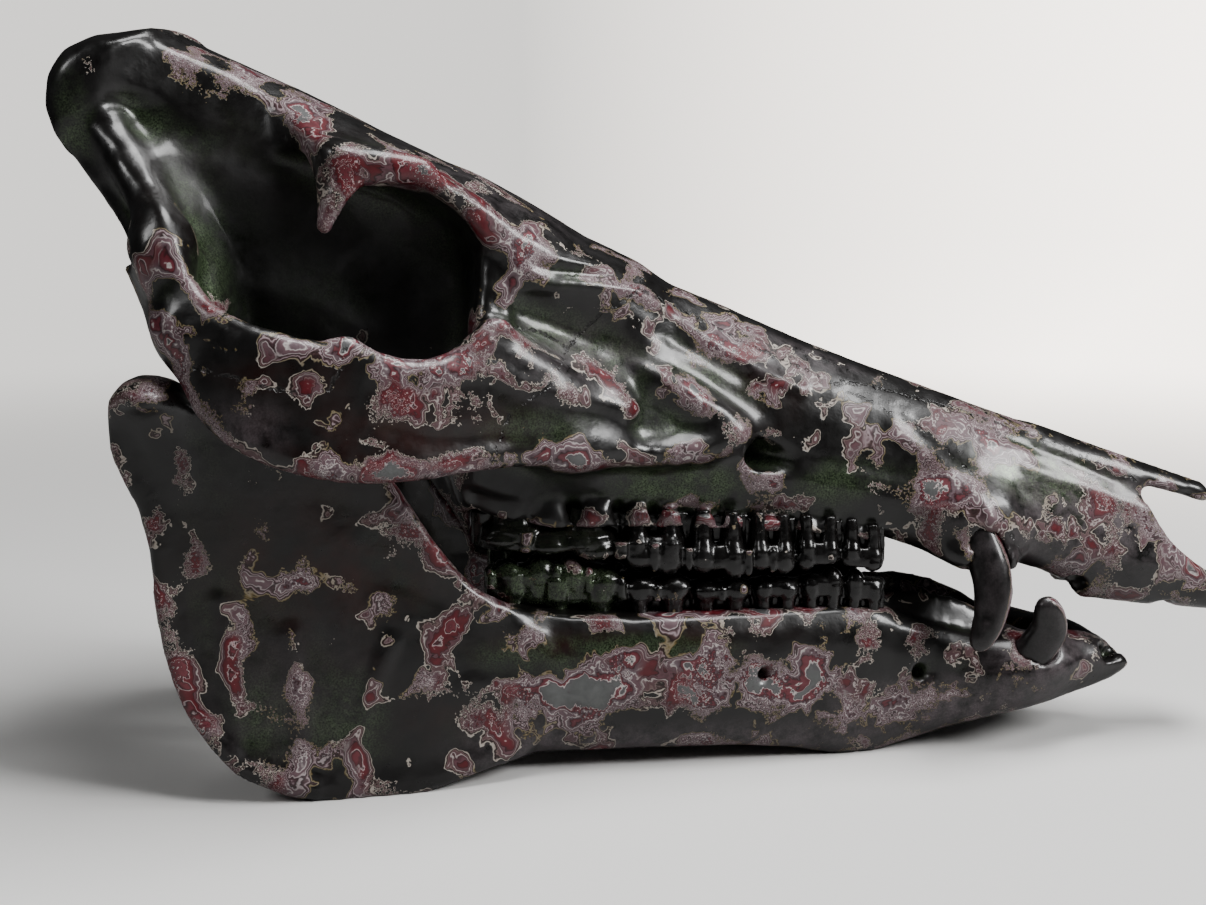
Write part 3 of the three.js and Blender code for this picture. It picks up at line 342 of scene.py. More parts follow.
CHEEK_RIDGE = [
    (-29, 133), (-30, 143), (-24, 143.5), (-8, 143.5), (8, 142), (16, 137), (30, 127), (46, 117.5), (58, 112)
]
SKULL_STROKES = [
    (CHEEK_RIDGE, 3.2, 0.85),
    ([(-28, 146), (-14, 150), (2, 149), (12, 146)], 3.5, 0.52),
    ([(-50, 122), (-34, 122), (-20, 116), (-6, 112), (6, 108)], 4, 0.59),
    ([(-96, 105), (-80, 98), (-55, 96), (-30, 98)], 5, 0.52),
    ([(86, 101), (96, 92), (108, 83), (116, 70)], 4, 0.52),
    ([(60, 84), (80, 80), (98, 76)], 4, 0.39),
    ([(128, 88), (150, 80), (172, 72)], 3.5, 0.45),
    # The grooves
    ([(-20, 149), (-4, 146.8), (8, 144.6)], 2.6, -0.98),
    ([(14, 130), (26, 124), (40, 116)], 3.5, -0.65),
    ([(-62, 108), (-48, 104), (-30, 104), (-14, 103)], 5, -0.45),
    ([(60, 92), (76, 90), (90, 87)], 4, -0.45),
    ([(120, 97), (140, 90), (160, 82)], 2.2, -0.45),
]
JAW_STROKES = [
    ([(-126, 60), (-119, 30), (-104, 11), (-84, 4)], 4, 0.8),
    ([(-88, 8), (-87, 30), (-90, 48)], 4.5, 0.8),
    ([(-74, 8), (-70, 26), (-62, 44)], 4.5, 0.7),
    ([(-105, 16), (-106, 40), (-109, 58)], 4, 0.6),
    ([(-60, 84), (-46, 64), (-34, 52), (-14, 50)], 4, 0.9),
    ([(-40, 30), (0, 25), (40, 20), (70, 14)], 6, 0.6),
]
for piece, strokes in ((skull, SKULL_STROKES), (jaw, JAW_STROKES)):
    for path, reach, height in strokes:
        stroke(piece, path, reach, height)
    print(piece.name, len(strokes), "strokes")

# %% [markdown]
# Small round holes let nerves and tear ducts through. The surface is pushed in around a point, which leaves a soft
# edge, as lacquer does.

# %% Nerve holes
NERVE_HOLES = [((-31.5, 46, 150.4), 2.6, 5), ((-28.3, 46, 139.2), 2.2, 4), ((12, 25, 145), 1.7, 2.5)]


def nerve_hole(piece, centre, radius, depth, soft_edge=1.7):
    points = read_points(piece.data)
    for side in SIDES.values():
        away = np.linalg.norm(points - np.array(centre) * [1, side, 1], axis=1)
        points[:, 1] -= side * depth * fall(away, radius * soft_edge)
    write_points(piece.data, points)


for centre, radius, depth in NERVE_HOLES:
    nerve_hole(skull, centre, radius, depth)
print(len(NERVE_HOLES), "nerve holes a side")

# %% [markdown]
# A machine-smooth surface looks like plastic. Real bone is uneven at every size, so random swells of a fifth of a
# millimetre go over it, and finer ones on top.

# %% The unevenness of bone
BONE_SWELLS = [(0.2, 15, 1), (0.1, 6, 2), (0.05, 2.6, 3)]
for piece in (skull, jaw):
    roughen(piece, BONE_SWELLS)
    relax(piece.data, 1)

# %% [markdown]
# A pig's cheek teeth are low and knobbly. Each is a crown with rows of blunt cones, and its roots fork below the
# crown, so dark notches open at the gum line. Every form of a tooth here is a bud, a closed stack of rounded
# rings, made by one tool.

# %% A bud of enamel
def skin(net, rings, up=1):
    """Closes a stack of rings of points. up is -1 where the stack is built downwards."""
    for low, high in zip(rings, rings[1:]):
        for i in range(len(low)):
            j = (i + 1) % len(low)
            net.faces.new((low[i], low[j], high[j], high[i])[::up])
    net.faces.new(rings[0][::-up])
    net.faces.new(rings[-1][::up])


def bud(net, centre, radii, levels, up, squareness=2.3, lean=(0, 0), sides=16):
    """levels are [height, share of the radii] pairs from the root to the tip."""
    def bent(turning, radius):
        return math.copysign(abs(turning) ** (2 / squareness), turning) * radius

    rings = []
    for height, share in levels:
        ring = []
        for i in range(sides):
            turn = 2 * math.pi * i / sides
            x = centre[0] + bent(math.cos(turn), radii[0]) * share + lean[0] * height
            y = centre[1] + bent(math.sin(turn), radii[1]) * share + lean[1] * height
            ring.append(net.verts.new(in_frame((x, y, centre[2] + up * height))))
        rings.append(ring)
    skin(net, rings, up)


def scaled(tall, levels):
    return [(tall * height, share) for height, share in levels]


# %% [markdown]
# The teeth are told from the last molar to the first premolar: where each starts and ends, its distance from the
# midplane, its width, its cones along and across, how far up the crown its roots fork, and how tall each cone
# along it stands.

# %% The sizes of the cheek teeth
Tooth = namedtuple("Tooth", "rear front w width along across fork heights")
UPPER = [
    Tooth(-38, 3.7, 24.5, 17, 3, 2, 0.1, (0.8, 0.94, 0.92)),
    Tooth(4.0, 23.4, 25, 16.5, 2, 2, 0.14, (0.94, 1.0)),
    Tooth(23.8, 41.6, 25, 14.5, 2, 2, 0.3, (0.92, 1.04)),
    Tooth(41.9, 56.1, 24.8, 12.5, 2, 2, 0.26, (0.9, 1.02)),
    Tooth(56.3, 70.2, 24, 9, 2, 1, 0.2, (1.02, 0.86)),
    Tooth(70.5, 83.6, 22.8, 7.5, 2, 1, 0.2, (0.84, 0.96)),
]
LOWER = [
    Tooth(-34.5, 3.9, 25, 14.5, 4, 2, 0.06, (0.86, 1.0, 1.04, 0.94)),
    Tooth(4.4, 24.8, 25, 13.5, 2, 2, 0.26, (0.94, 1.0)),
    Tooth(25.2, 42.8, 24, 11.5, 2, 2, 0.32, (0.86, 0.92)),
    Tooth(43.6, 58, 23.2, 9.5, 2, 1, 0.28, (0.92, 0.84)),
    Tooth(58.6, 71.8, 22, 8, 2, 1, 0.26, (0.9, 1.08)),
    Tooth(72.2, 84.4, 20.8, 7, 2, 1, 0.2, (1.08, 0.86)),
]
# Where the two rows meet, and how far short of that each ends.
BITE = along((-40, 64.5), (-15, 63.6), (-2, 61.2), (12, 58), (33, 56.6), (50, 57.3), (66, 58), (80, 56.5), (88, 56))
BITE_GAP = 0.3
print("rows, mm:", [round(row[-1].front - row[0].rear, 1) for row in (UPPER, LOWER)])

# %% [markdown]
# A tooth's body is a belt of enamel above the fork, and the roots that carry it. On the tongue's side a wall
# closes the gaps between the roots, so that no light comes through the row.

# %% Crowns and roots
ROOT_DEPTH, WALL_DEPTH = 6, 4


def crown_and_roots(net, tooth, gum, up, side, luck):
    length, middle = tooth.front - tooth.rear, (tooth.rear + tooth.front) / 2
    crown = (BITE(middle) - gum(middle)) * up - BITE_GAP
    fork = tooth.fork
    belt = scaled(crown, [(fork, 0.7), (fork + 0.1, 0.85), (0.52, 0.98), (0.68, 1), (0.78, 0.86), (0.84, 0.55)])
    bud(net, (middle, side * tooth.w, gum(middle)), (length * 0.505, tooth.width * 0.46), belt, up, 2.7)
    wall = [(-WALL_DEPTH, 1), *scaled(crown, [(0.68, 1), (0.8, 0.9)])]
    wall_place = (middle, side * (tooth.w - tooth.width * 0.24), gum(middle))
    bud(net, wall_place, (length * 0.56, tooth.width * 0.2), wall, up, 5)
    roots = max(2, tooth.along - 1)
    neck = [(-ROOT_DEPTH, 0.7), (-1, 0.86), (crown * fork * 0.6, 0.95)]
    neck += scaled(crown, [(fork + 0.12, 1.25), (0.6, 1.3)])
    for i in range(roots):
        x = tooth.rear + (i + 0.5) * length / roots
        radii = (length / roots * 0.36, tooth.width * 0.39)
        bud(net, (x, side * tooth.w, gum(x)), radii, neck, up, 2.2, tuple(luck.uniform(-0.04, 0.04, 2)))


# %% [markdown]
# The cones on a crown lean a little, each its own way. Broad teeth have small knobs too, on the cheek's side.

# %% Cones
CONE = [(0.36, 0.7), (0.52, 0.92), (0.68, 1), (0.8, 0.9), (0.9, 0.68), (0.97, 0.4), (1, 0.16)]
KNOB = [(0.4, 1), (0.85, 1), (0.96, 0.7), (1, 0.3)]


def cones(net, tooth, gum, up, side, luck):
    long, wide = (tooth.front - tooth.rear) / tooth.along, tooth.width / tooth.across
    radii = (long * 0.49, wide * (0.54 if tooth.across > 1 else 0.5))
    for i, share in enumerate(tooth.heights):
        x = tooth.rear + (i + 0.5) * long
        tall = ((BITE(x) - gum(x)) * up - BITE_GAP) * share
        for j in range(tooth.across):
            off = (j - (tooth.across - 1) / 2) * tooth.width / tooth.across * 0.92
            lean = tuple(luck.uniform(-0.05, 0.05, 2))
            bud(net, (x, side * (tooth.w + off), gum(x)), radii, scaled(tall, CONE), up, 2.2, lean)
        if tooth.across > 1:
            small = long * luck.uniform(0.13, 0.18)
            high = tall * luck.uniform(0.82, 0.92)
            centre = (x + long * 0.5 * luck.choice([-1, 1]), side * (tooth.w + tooth.width * 0.36), gum(x))
            bud(net, centre, (small, small * 1.2), scaled(high, KNOB), up)


# %% [markdown]
# The buds of one row are melted together, as enamel flows over the real ones, and roughened a little.

# %% Rows of cheek teeth
TOOTH_VOXEL, TOOTH_ROUNDS = 0.42, 5
TOOTH_SWELLS = [(0.16, 3, 5), (0.07, 1.2, 6)]


def cheek_teeth(name, teeth, gum, up, side):
    net = bmesh.new()
    luck = np.random.default_rng(11 if up > 0 else 12)
    for tooth in teeth:
        crown_and_roots(net, tooth, gum, up, side, luck)
        cones(net, tooth, gum, up, side, luck)
    piece = new_piece(name, net)
    remeshed(piece, TOOTH_VOXEL, TOOTH_ROUNDS)
    roughen(piece, TOOTH_SWELLS)
    return piece


upper_teeth = [cheek_teeth(f"upper_teeth_{side}", UPPER, UPPER_GUM, -1, y) for side, y in SIDES.items()]
lower_teeth = [cheek_teeth(f"lower_teeth_{side}", LOWER, LOWER_GUM, 1, y) for side, y in SIDES.items()]

# %% [markdown]
# A pig's tusks grow all its life in a curve, so each is a round rod bent along a few points. Its radius is told
# at steps along it, in hundredths of its length.

# %% The course of the tusks
UPPER_TUSK = [(108, 24, 76), (112, 28, 66), (114.5, 31.5, 56), (113.6, 34, 46), (109.2, 36, 35.5)]
LOWER_TUSK = [(116, 18.5, 17), (125.5, 20.5, 24), (131.5, 23, 32), (134.4, 26, 40), (131.6, 29.5, 49.5)]
UPPER_RADIUS = along((0, 5.3), (40, 6.0), (65, 5.5), (85, 4.4), (94, 3.5), (98, 2.4), (100, 0.8))
LOWER_RADIUS = along((0, 5.3), (45, 6.0), (72, 5.7), (88, 4.6), (95, 3.5), (99, 2.2), (100, 0.8))


def curve_through(points, count):
    """Evenly numbered places on a smooth curve through a few points."""
    p = np.asarray(points, float)
    p = np.vstack([2 * p[0] - p[1], p, 2 * p[-1] - p[-2]])
    places = []
    for t in np.linspace(0, len(points) - 1, count):
        i = min(int(t), len(points) - 2)
        f = t - i
        a, b, c, d = p[i : i + 4]
        places.append(
            0.5 * (2 * b + (c - a) * f + (2 * a - 5 * b + 4 * c - d) * f**2 + (3 * b - a - 3 * c + d) * f**3)
        )
    return np.array(places)


# %% [markdown]
# The tusks are flattened a little from side to side, worn blunt at the tip, and have a ridge and a shallow groove
# down their length. A number on the points tells where the rubbed front edge is. The upper left one has fallen
# out of this skull.

# %% Tusks
FLATTENED = 0.8
# Each swelling on a tusk: its height, and where it lies and how wide it is as a turn in radians.
TUSK_RIDGE, TUSK_GROOVE = (0.09, math.pi * 0.3, 0.35), (-0.05, math.pi * 0.62, 0.4)
FRONT_TURN, FRONT_WIDTH = 0.5, 0.5


def swelling(turn, height, middle, width):
    return height * math.exp(-(((turn - middle) / width) ** 2))


def tusk(name, points, radius, side, rings=56, sides=28):
    line = curve_through(points, rings) * [1, side, 1]
    net = bmesh.new()
    loops = []
    for i, centre in enumerate(line):
        ahead = line[min(i + 1, rings - 1)] - line[max(i - 1, 0)]
        ahead /= np.linalg.norm(ahead)
        across = np.array([0, side, 0]) - ahead * ahead[1] * side
        across /= np.linalg.norm(across)
        front = np.cross(across, ahead)
        front *= np.sign(front[0])
        size = radius(100 * i / (rings - 1))
        loop = []
        for k in range(sides):
            turn = 2 * math.pi * k / sides
            swell = 1 + swelling(turn, *TUSK_RIDGE) + swelling(turn, *TUSK_GROOVE)
            spot = centre + (front * math.cos(turn) + across * FLATTENED * math.sin(turn)) * size * swell
            loop.append(net.verts.new(in_frame(spot)))
        loops.append(loop)
    skin(net, loops)
    bmesh.ops.recalc_face_normals(net, faces=net.faces)
    piece = new_piece(name, net)
    piece.data.polygons.foreach_set("use_smooth", [True] * len(piece.data.polygons))
    turns = np.tile(np.arange(sides) * 2 * math.pi / sides, rings)
    from_front = (turns + math.pi) % (2 * math.pi) - math.pi - FRONT_TURN
    strip = piece.data.attributes.new("front", "FLOAT", "POINT")
    strip.data.foreach_set("value", np.exp(-((from_front / FRONT_WIDTH) ** 2)).astype(np.float32))
    print(name, len(piece.data.polygons), "faces")
    return piece


tusks = {}
for side, y in SIDES.items():
    tusks[f"lower_canine_{side}"] = tusk(f"lower_tusk_{side}", LOWER_TUSK, LOWER_RADIUS, y)
tusks["upper_canine_right"] = tusk("upper_tusk_right", UPPER_TUSK, UPPER_RADIUS, -1)

# %% Everything stands for its solids
for piece, nodes in ((skull, SKULL_NODES), (jaw, JAW_NODES)):
    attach(piece, "root")
    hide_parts(*nodes)
for side, upper, lower in zip(SIDES, upper_teeth, lower_teeth):
    for piece, node in ((upper, f"maxilla_{side}"), (lower, f"mandible_{side}")):
        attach(piece, "root")
        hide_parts(node)
for node, piece in tusks.items():
    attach(piece, "root")
    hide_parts(node)
print("pieces:", 2 + len(upper_teeth) + len(lower_teeth) + len(tusks))

# %% [markdown]
# Rubbing down takes the most off what stands proud: ridges, rims and edges, and the broad swells that the hand
# reaches first. So the wear is worked out from the mesh. A point that stands out from the mean of its surroundings
# is proud, and one under it is in a hollow, where the lacquer stays thick and dark. Soft patches add the broad
# swells. The results are kept on the points as numbers that the materials read.

# %% How proud a point is, and how soft patches add up
def proudness(mesh, rounds):
    mean = neighbour_mean(mesh)
    smooth = read_points(mesh)
    for _ in range(rounds):
        smooth = mean(smooth)
    out = np.einsum("ij,ij->i", read_points(mesh) - smooth, read_normals(mesh))
    for _ in range(3):
        out = mean(out[:, None])[:, 0]
    return out


def patches(points, spots, least_w=9):
    """The sum of soft oval patches given as [x, z, half length, half height, amount], on the outer sides."""
    total = np.zeros(len(points))
    for x, z, rx, rz, amount in spots:
        total += amount * fall(np.hypot((points[:, 0] - x) / rx, (points[:, 2] - z) / rz), 1.25)
    return total * rise(np.abs(points[:, 1]), least_w, least_w + 4)


def keep_numbers(piece, **columns):
    for name, values in columns.items():
        column = piece.data.attributes.new(name, "FLOAT", "POINT")
        column.data.foreach_set("value", values.astype(np.float32))
        print(piece.name, name, np.round(np.percentile(values, [5, 50, 95]), 2))


# %% [markdown]
# The broad swells are soft ovals in the side view, and the rims and long edges are paths with a reach and an
# amount. The skull's last ovals take wear away, where the cloth didn't reach.

# %% Where the bone is rubbed
SKULL_RUBBED = [
    (-55, 115, 17, 13, 0.5), (-55, 115, 9, 7, 0.35), (-30, 118, 12, 8, 0.3), (-95, 128, 16, 8, 0.25),
    (-62, 97, 45, 5, 0.35), (-2, 122, 9, 5, 0.5), (20, 113, 20, 9, 0.4), (46, 110, 11, 8, 0.5),
    (72, 101, 10, 14, 0.35), (98, 85, 14, 12, 0.45), (99, 84, 8, 8, 0.4), (24, 78, 24, 5, 0.5),
    (40, 125, 18, 8, 0.3), (92, 101, 18, 8, 0.4), (118, 93, 20, 8, 0.4), (145, 68, 24, 14, 0.35),
    (125, 101, 60, 5, 0.35), (178, 55, 16, 8, 0.3), (-55, 174, 24, 7, 0.3), (-84, 190, 12, 10, 0.35),
    (-10, 137, 20, 5, 0.25), (62, 76, 25, 4, 0.3), (-97, 133, 16, 6, -0.3), (-84, 108, 14, 7, -0.35),
    (-142, 190, 24, 36, -0.9), (-118, 176, 20, 24, -0.6), (-4, 84, 40, 7, -0.6),
]
SKULL_RIMS = [
    ([(-122, 163), (-117, 151), (-105, 138), (-91, 132), (-73, 127)], 3.2, 0.28),
    ([(-124, 151), (-121, 134), (-113, 125), (-101, 121), (-85, 118), (-73, 121), (-69, 132)], 3, 0.42),
    ([(-77, 160), (-76, 170), (-68, 176), (-52, 177), (-38, 169), (-30, 157), (-20, 152)], 6, 0.22),
    ([(-105, 203), (-88, 194), (-77, 183), (-70, 178)], 4, 0.26),
    ([(-28, 153), (-3, 146), (26, 132), (55, 117)], 3.4, 0.26),
    ([(-69, 131), (-58, 126), (-43, 124), (-33, 132), (-29, 140)], 3.2, 0.2),
    ([(-113, 119), (-97, 100), (-76, 93), (-44, 96), (-15, 98), (0, 92), (9, 82), (32, 77), (53, 73)], 3.6, 0.28),
]
JAW_RUBBED = [
    (-114, 69, 6, 9, 0.55), (-91, 62, 15, 6, 0.6), (-104, 45, 7, 16, 0.55), (-86, 32, 6, 22, 0.45),
    (-76, 13, 24, 7, 0.45), (-117, 30, 8, 22, 0.35), (-46, 42, 14, 13, 0.4), (-41, 49, 8, 6, 0.35),
    (-62, 78, 7, 12, 0.25), (-52, 66, 7, 12, 0.25), (-8, 25, 16, 10, 0.3), (-5, 25, 7, 6, 0.4),
    (58, 42, 14, 4, 0.4), (38, 47, 32, 2.2, 0.5), (-25, 40, 14, 6, 0.35), (-64, 40, 6, 18, 0.3),
]
JAW_RIMS = [
    ([(-40, 16), (-18, 26), (10, 28), (46, 25), (84, 19)], 9.5, 0.64),
    ([(-60, 87), (-53, 74), (-43, 63), (-32, 54)], 4, 0.35),
    ([(-124, 60), (-120, 36), (-103, 14), (-80, 6), (-60, 6)], 5, 0.3),
]

# %% [markdown]
# Four more effects lie in broad places. Lacquer pooled in hollows, a clear red-brown coat lies over the cheek,
# and some of the black was only hazed to a satin grey. Deep in the sockets fewer rings are rubbed through, and
# shade is painted in there: the colour turns near-black, and the polish is taken off, which leaves it matt.

# %% Where the lacquer is pooled, red or hazed, and where shade is painted into the sockets
SKULL_POOLED = [
    (-148, 196, 10, 24, 1), (-104, 150, 22, 22, 0.7), (-80, 140, 14, 12, 0.8), (24, 85, 24, 8, 1),
    (68, 84, 18, 8, 1), (130, 88, 28, 12, 0.8), (-12, 146, 16, 6, 0.8), (-20, 104, 16, 8, 0.7),
    (150, 78, 24, 10, 0.6), (20, 118, 22, 7, 0.4),
]
JAW_POOLED = [
    (5, 38, 46, 8, 1), (-75, 24, 12, 16, 0.6), (-100, 24, 10, 14, 0.5), (100, 30, 20, 8, 0.3),
    (-40, 90, 20, 20, 0.2),
]
SKULL_RED = [(-60, 106, 48, 13, 1), (-85, 122, 24, 6, 0.7), (-90, 170, 40, 24, 0.25), (46, 110, 14, 12, 0.6)]
JAW_RED = [(-70, 66, 34, 34, 0.9), (0, 40, 60, 6, 0.8), (-100, 70, 26, 30, 0.5), (-50, 20, 20, 14, 0.4)]
SKULL_HAZED = [
    (150, 72, 42, 22, 0.9), (60, 122, 60, 8, 0.5), (-98, 108, 16, 10, 0.6), (-20, 172, 60, 20, 0.3),
    (-12, 124, 22, 14, 0.4), (104, 80, 14, 12, 0.4),
]
JAW_HAZED = [
    (30, 6, 70, 9, 1), (105, 16, 42, 10, 1.2), (-20, 12, 30, 8, 0.6), (135, 30, 26, 12, 0.8),
    (-92, 30, 30, 30, 0.2),
]
# Less rubbed places in the sockets, which also get painted shade.
SHELTERED_AND_SHADED = [(-100, 150, 34, 40, 0.7), (-56, 140, 30, 34, 0.7), (-20, 84, 22, 10, 0.4)]

# %% The numbers the lacquer reads from the bones
RIM_SOFTNESS = 1.6
FINE_ROUNDS, BROAD_ROUNDS = 14, 70
for piece, rubbed, rims, pooled, red, hazed in (
    (skull, SKULL_RUBBED, SKULL_RIMS, SKULL_POOLED, SKULL_RED, SKULL_HAZED),
    (jaw, JAW_RUBBED, JAW_RIMS, JAW_POOLED, JAW_RED, JAW_HAZED),
):
    points = read_points(piece.data)
    w, side_view = np.abs(points[:, 1]), points[:, [0, 2]]
    rim = sum(amount * fall(to_path(side_view, path), reach * RIM_SOFTNESS) for path, reach, amount in rims)
    fine, broad = proudness(piece.data, FINE_ROUNDS), proudness(piece.data, BROAD_ROUNDS)
    # inside lowers the rubbing there, and as deep it paints shade into the sockets.
    inside = rise(w, 44, 36) * patches(points, SHELTERED_AND_SHADED, 0)
    proud = np.clip(fine * 0.8, -0.35, 0.16) + np.clip(broad * 0.07, -0.3, 0.14)
    keep_numbers(
        piece,
        rub=np.clip(proud + patches(points, rubbed) + rim * rise(w, 12, 18) - inside, -0.6, 1.2),
        pooled=np.clip(patches(points, pooled) - np.clip(broad * 0.3, -0.5, 1), 0, 1),
        red=np.clip(patches(points, red), 0, 1),
        # Painted shade: near-black colour and no polish deep in the sockets.
        deep=np.clip(inside * 1.4, 0, 1),
        haze=np.clip(patches(points, hazed), 0, 1),
    )

# %% [markdown]
# Seams are where one bone grew against the next. They stay as fine wandering lines. Each is kept as its distance,
# so that the material can wander off it a little and draw it as thin as it likes. The midline is a seam too.

# %% Seams
NO_SEAM = 30.0  # A distance at which no seam is drawn.
SEAMS = [
    [(-70, 131), (-71.5, 124), (-74, 119), (-80, 117), (-88, 118.5), (-98, 121.2), (-113, 124.2)],
    [(11, 148), (9, 142), (-4, 134), (-12, 126), (-17, 117), (-28, 110), (-34, 96)],
    [(-31, 133), (-20, 131), (-12, 126)],
    [(10, 141.8), (21, 136.2), (45, 124.2), (66, 114.6), (82, 112), (107, 105.2), (132, 96.4), (151, 88.6),
     (165, 82.2)],
    [(66, 114), (78, 109), (91, 102), (99, 97), (111, 85), (121, 68), (127, 58)],
]
points = read_points(skull.data)
w = np.abs(points[:, 1])
seam = np.minimum.reduce([to_path(points[:, [0, 2]], path) for path in SEAMS])
palate = (w < 10) & (points[:, 2] < 100)
top_of_face = (points[:, 0] > -60) & (read_normals(skull.data)[:, 2] > 0.3)
keep_numbers(skull, seam=np.minimum(np.where(palate, NO_SEAM, seam), np.where(top_of_face, w, NO_SEAM)))
keep_numbers(jaw, seam=np.full(len(jaw.data.vertices), NO_SEAM))

# %% [markdown]
# Now the lacquer. A few helpers keep each recipe short: they place a shader node and wire it, do a sum, spread a
# value over a new range, and mix two colours.

# %% Tools for mixing materials
def linear(code):
    """A colour written as six hex digits, as the numbers that light is reckoned in."""
    parts = [int(code[i : i + 2], 16) / 255 for i in (0, 2, 4)]
    return (*[p / 12.92 if p < 0.04045 else ((p + 0.055) / 1.055) ** 2.4 for p in parts], 1)


def wire(tree, node, inputs):
    """Links each input to a socket, or sets it to a value."""
    for name, value in inputs.items():
        if isinstance(value, bpy.types.NodeSocket):
            tree.links.new(value, node.inputs[name])
        else:
            node.inputs[name].default_value = value


def place(tree, kind, inputs=None, **settings):
    node = tree.nodes.new(kind)
    for name, value in settings.items():
        setattr(node, name, value)
    wire(tree, node, inputs or {})
    return node


def sums(tree, operation, *values, clamp=False):
    return place(tree, "ShaderNodeMath", dict(enumerate(values)), operation=operation, use_clamp=clamp).outputs[0]


def times(tree, a, b, clamp=False):
    return sums(tree, "MULTIPLY", a, b, clamp=clamp)


def spread(tree, value, low, high, to_low=0.0, to_high=1.0, **settings):
    inputs = {"Value": value, "From Min": low, "From Max": high, "To Min": to_low, "To Max": to_high}
    return place(tree, "ShaderNodeMapRange", inputs, **settings).outputs[0]


def vectors(tree, operation, inputs, output=0):
    return place(tree, "ShaderNodeVectorMath", inputs, operation=operation).outputs[output]


def blend(tree, share, a, b):
    """Mixes two colours."""
    return place(tree, "ShaderNodeMix", {0: share, 6: a, 7: b}, data_type="RGBA").outputs[2]


# %% [markdown]
# The others make noise of a size told in millimetres, lay colours along a value, and start a group: one recipe
# that several materials use, each with its own amounts.

# %% Noise, ramps and groups
def cloud(tree, where, size_mm, detail=2.0, rough=0.5, output=0):
    """Smooth noise whose lumps are about so many millimetres wide."""
    inputs = {"Vector": where, "Scale": 1 / (size_mm * MM), "Detail": detail, "Roughness": rough}
    return place(tree, "ShaderNodeTexNoise", inputs).outputs[output]


def either_way(tree, noise, amount):
    """Noise that goes as far below nothing as above it."""
    return times(tree, sums(tree, "SUBTRACT", noise, 0.5), amount)


def ramp(tree, value, stops):
    """Colours laid along a value, as [position, colour code] pairs."""
    made = place(tree, "ShaderNodeValToRGB", {"Fac": value})
    band = made.color_ramp
    while len(band.elements) < len(stops):
        band.elements.new(1)
    for element, (position, code) in zip(band.elements, stops):
        element.position, element.color = position, linear(code)
    return made.outputs[0]


def object_place(tree):
    return place(tree, "ShaderNodeTexCoord").outputs["Object"]


def group(name, takes):
    """Starts a group that takes the named values. Returns its tree and their sockets."""
    tree = bpy.data.node_groups.new(name, "ShaderNodeTree")
    for label, value in takes.items():
        kind = "NodeSocketVector" if isinstance(value, tuple) else "NodeSocketFloat"
        tree.interface.new_socket(label, in_out="INPUT", socket_type=kind).default_value = value
    return tree, place(tree, "NodeGroupInput").outputs


def finished(tree, **results):
    """Gives a group its results: a colour, a place, or else a number."""
    for label in results:
        kind = {"Color": "NodeSocketColor", "Place": "NodeSocketVector"}.get(label, "NodeSocketFloat")
        tree.interface.new_socket(label, in_out="OUTPUT", socket_type=kind)
    wire(tree, place(tree, "NodeGroupOutput"), results)
    print(tree.name, len(tree.nodes), "nodes, gives", *results)
    return tree


# %% [markdown]
# How deep the rubbing went is one number. It starts from the wear kept on the points, and noise of several sizes
# makes it uneven, as brushed lacquer is never level. The noise is read at places that wander, so the rings turn
# and twist. Where the finest noise is strong, they break up into a spray of dots.

# %% How deep the rubbing went
WANDER, SWELL, RIPPLE, CALM, SPRAYED, DOT = 9, 11, 3.2, 34, 16, 0.75  # The sizes of the noises, in mm.
RUB_SHARE = 0.42
tree, takes = group("rubbing depth", {"Rub": 0.0, "Swell": 0.75, "Ripple": 0.45, "Spray": 0.3, "Start": 0.27})
where = object_place(tree)
drift = cloud(tree, where, WANDER, output="Color")
drift = vectors(tree, "SUBTRACT", {0: drift, 1: (0.5, 0.5, 0.5)})
drift = vectors(tree, "SCALE", {0: drift, "Scale": WANDER * MM})
wandering = vectors(tree, "ADD", {0: where, 1: drift})
swell = either_way(tree, cloud(tree, wandering, SWELL, 1.0), takes["Swell"])
busy = spread(tree, cloud(tree, where, CALM, 1.0), 0.42, 0.58, 0.35, 1.0)
ripple = either_way(tree, cloud(tree, wandering, RIPPLE), times(tree, busy, takes["Ripple"]))
sprayed = spread(tree, cloud(tree, where, SPRAYED, 1.0), 0.46, 0.62)
spray = times(tree, either_way(tree, cloud(tree, where, DOT, 1.0), sprayed), takes["Spray"])
depth = sums(tree, "MULTIPLY_ADD", takes["Rub"], RUB_SHARE, takes["Start"])
for part in (swell, ripple, spray):
    depth = sums(tree, "ADD", depth, part)
depth_group = finished(tree, Depth=depth, Place=wandering)

# %% [markdown]
# Each layer of lacquer shows as one ring. From the black top coat down: a hair of white, a thin brown line,
# mauve, white again, crimson, a dark line, pink, grey and last the silver ground. Two orders are mixed from place
# to place, one redder and one paler, because no coat was laid over the whole bone evenly.

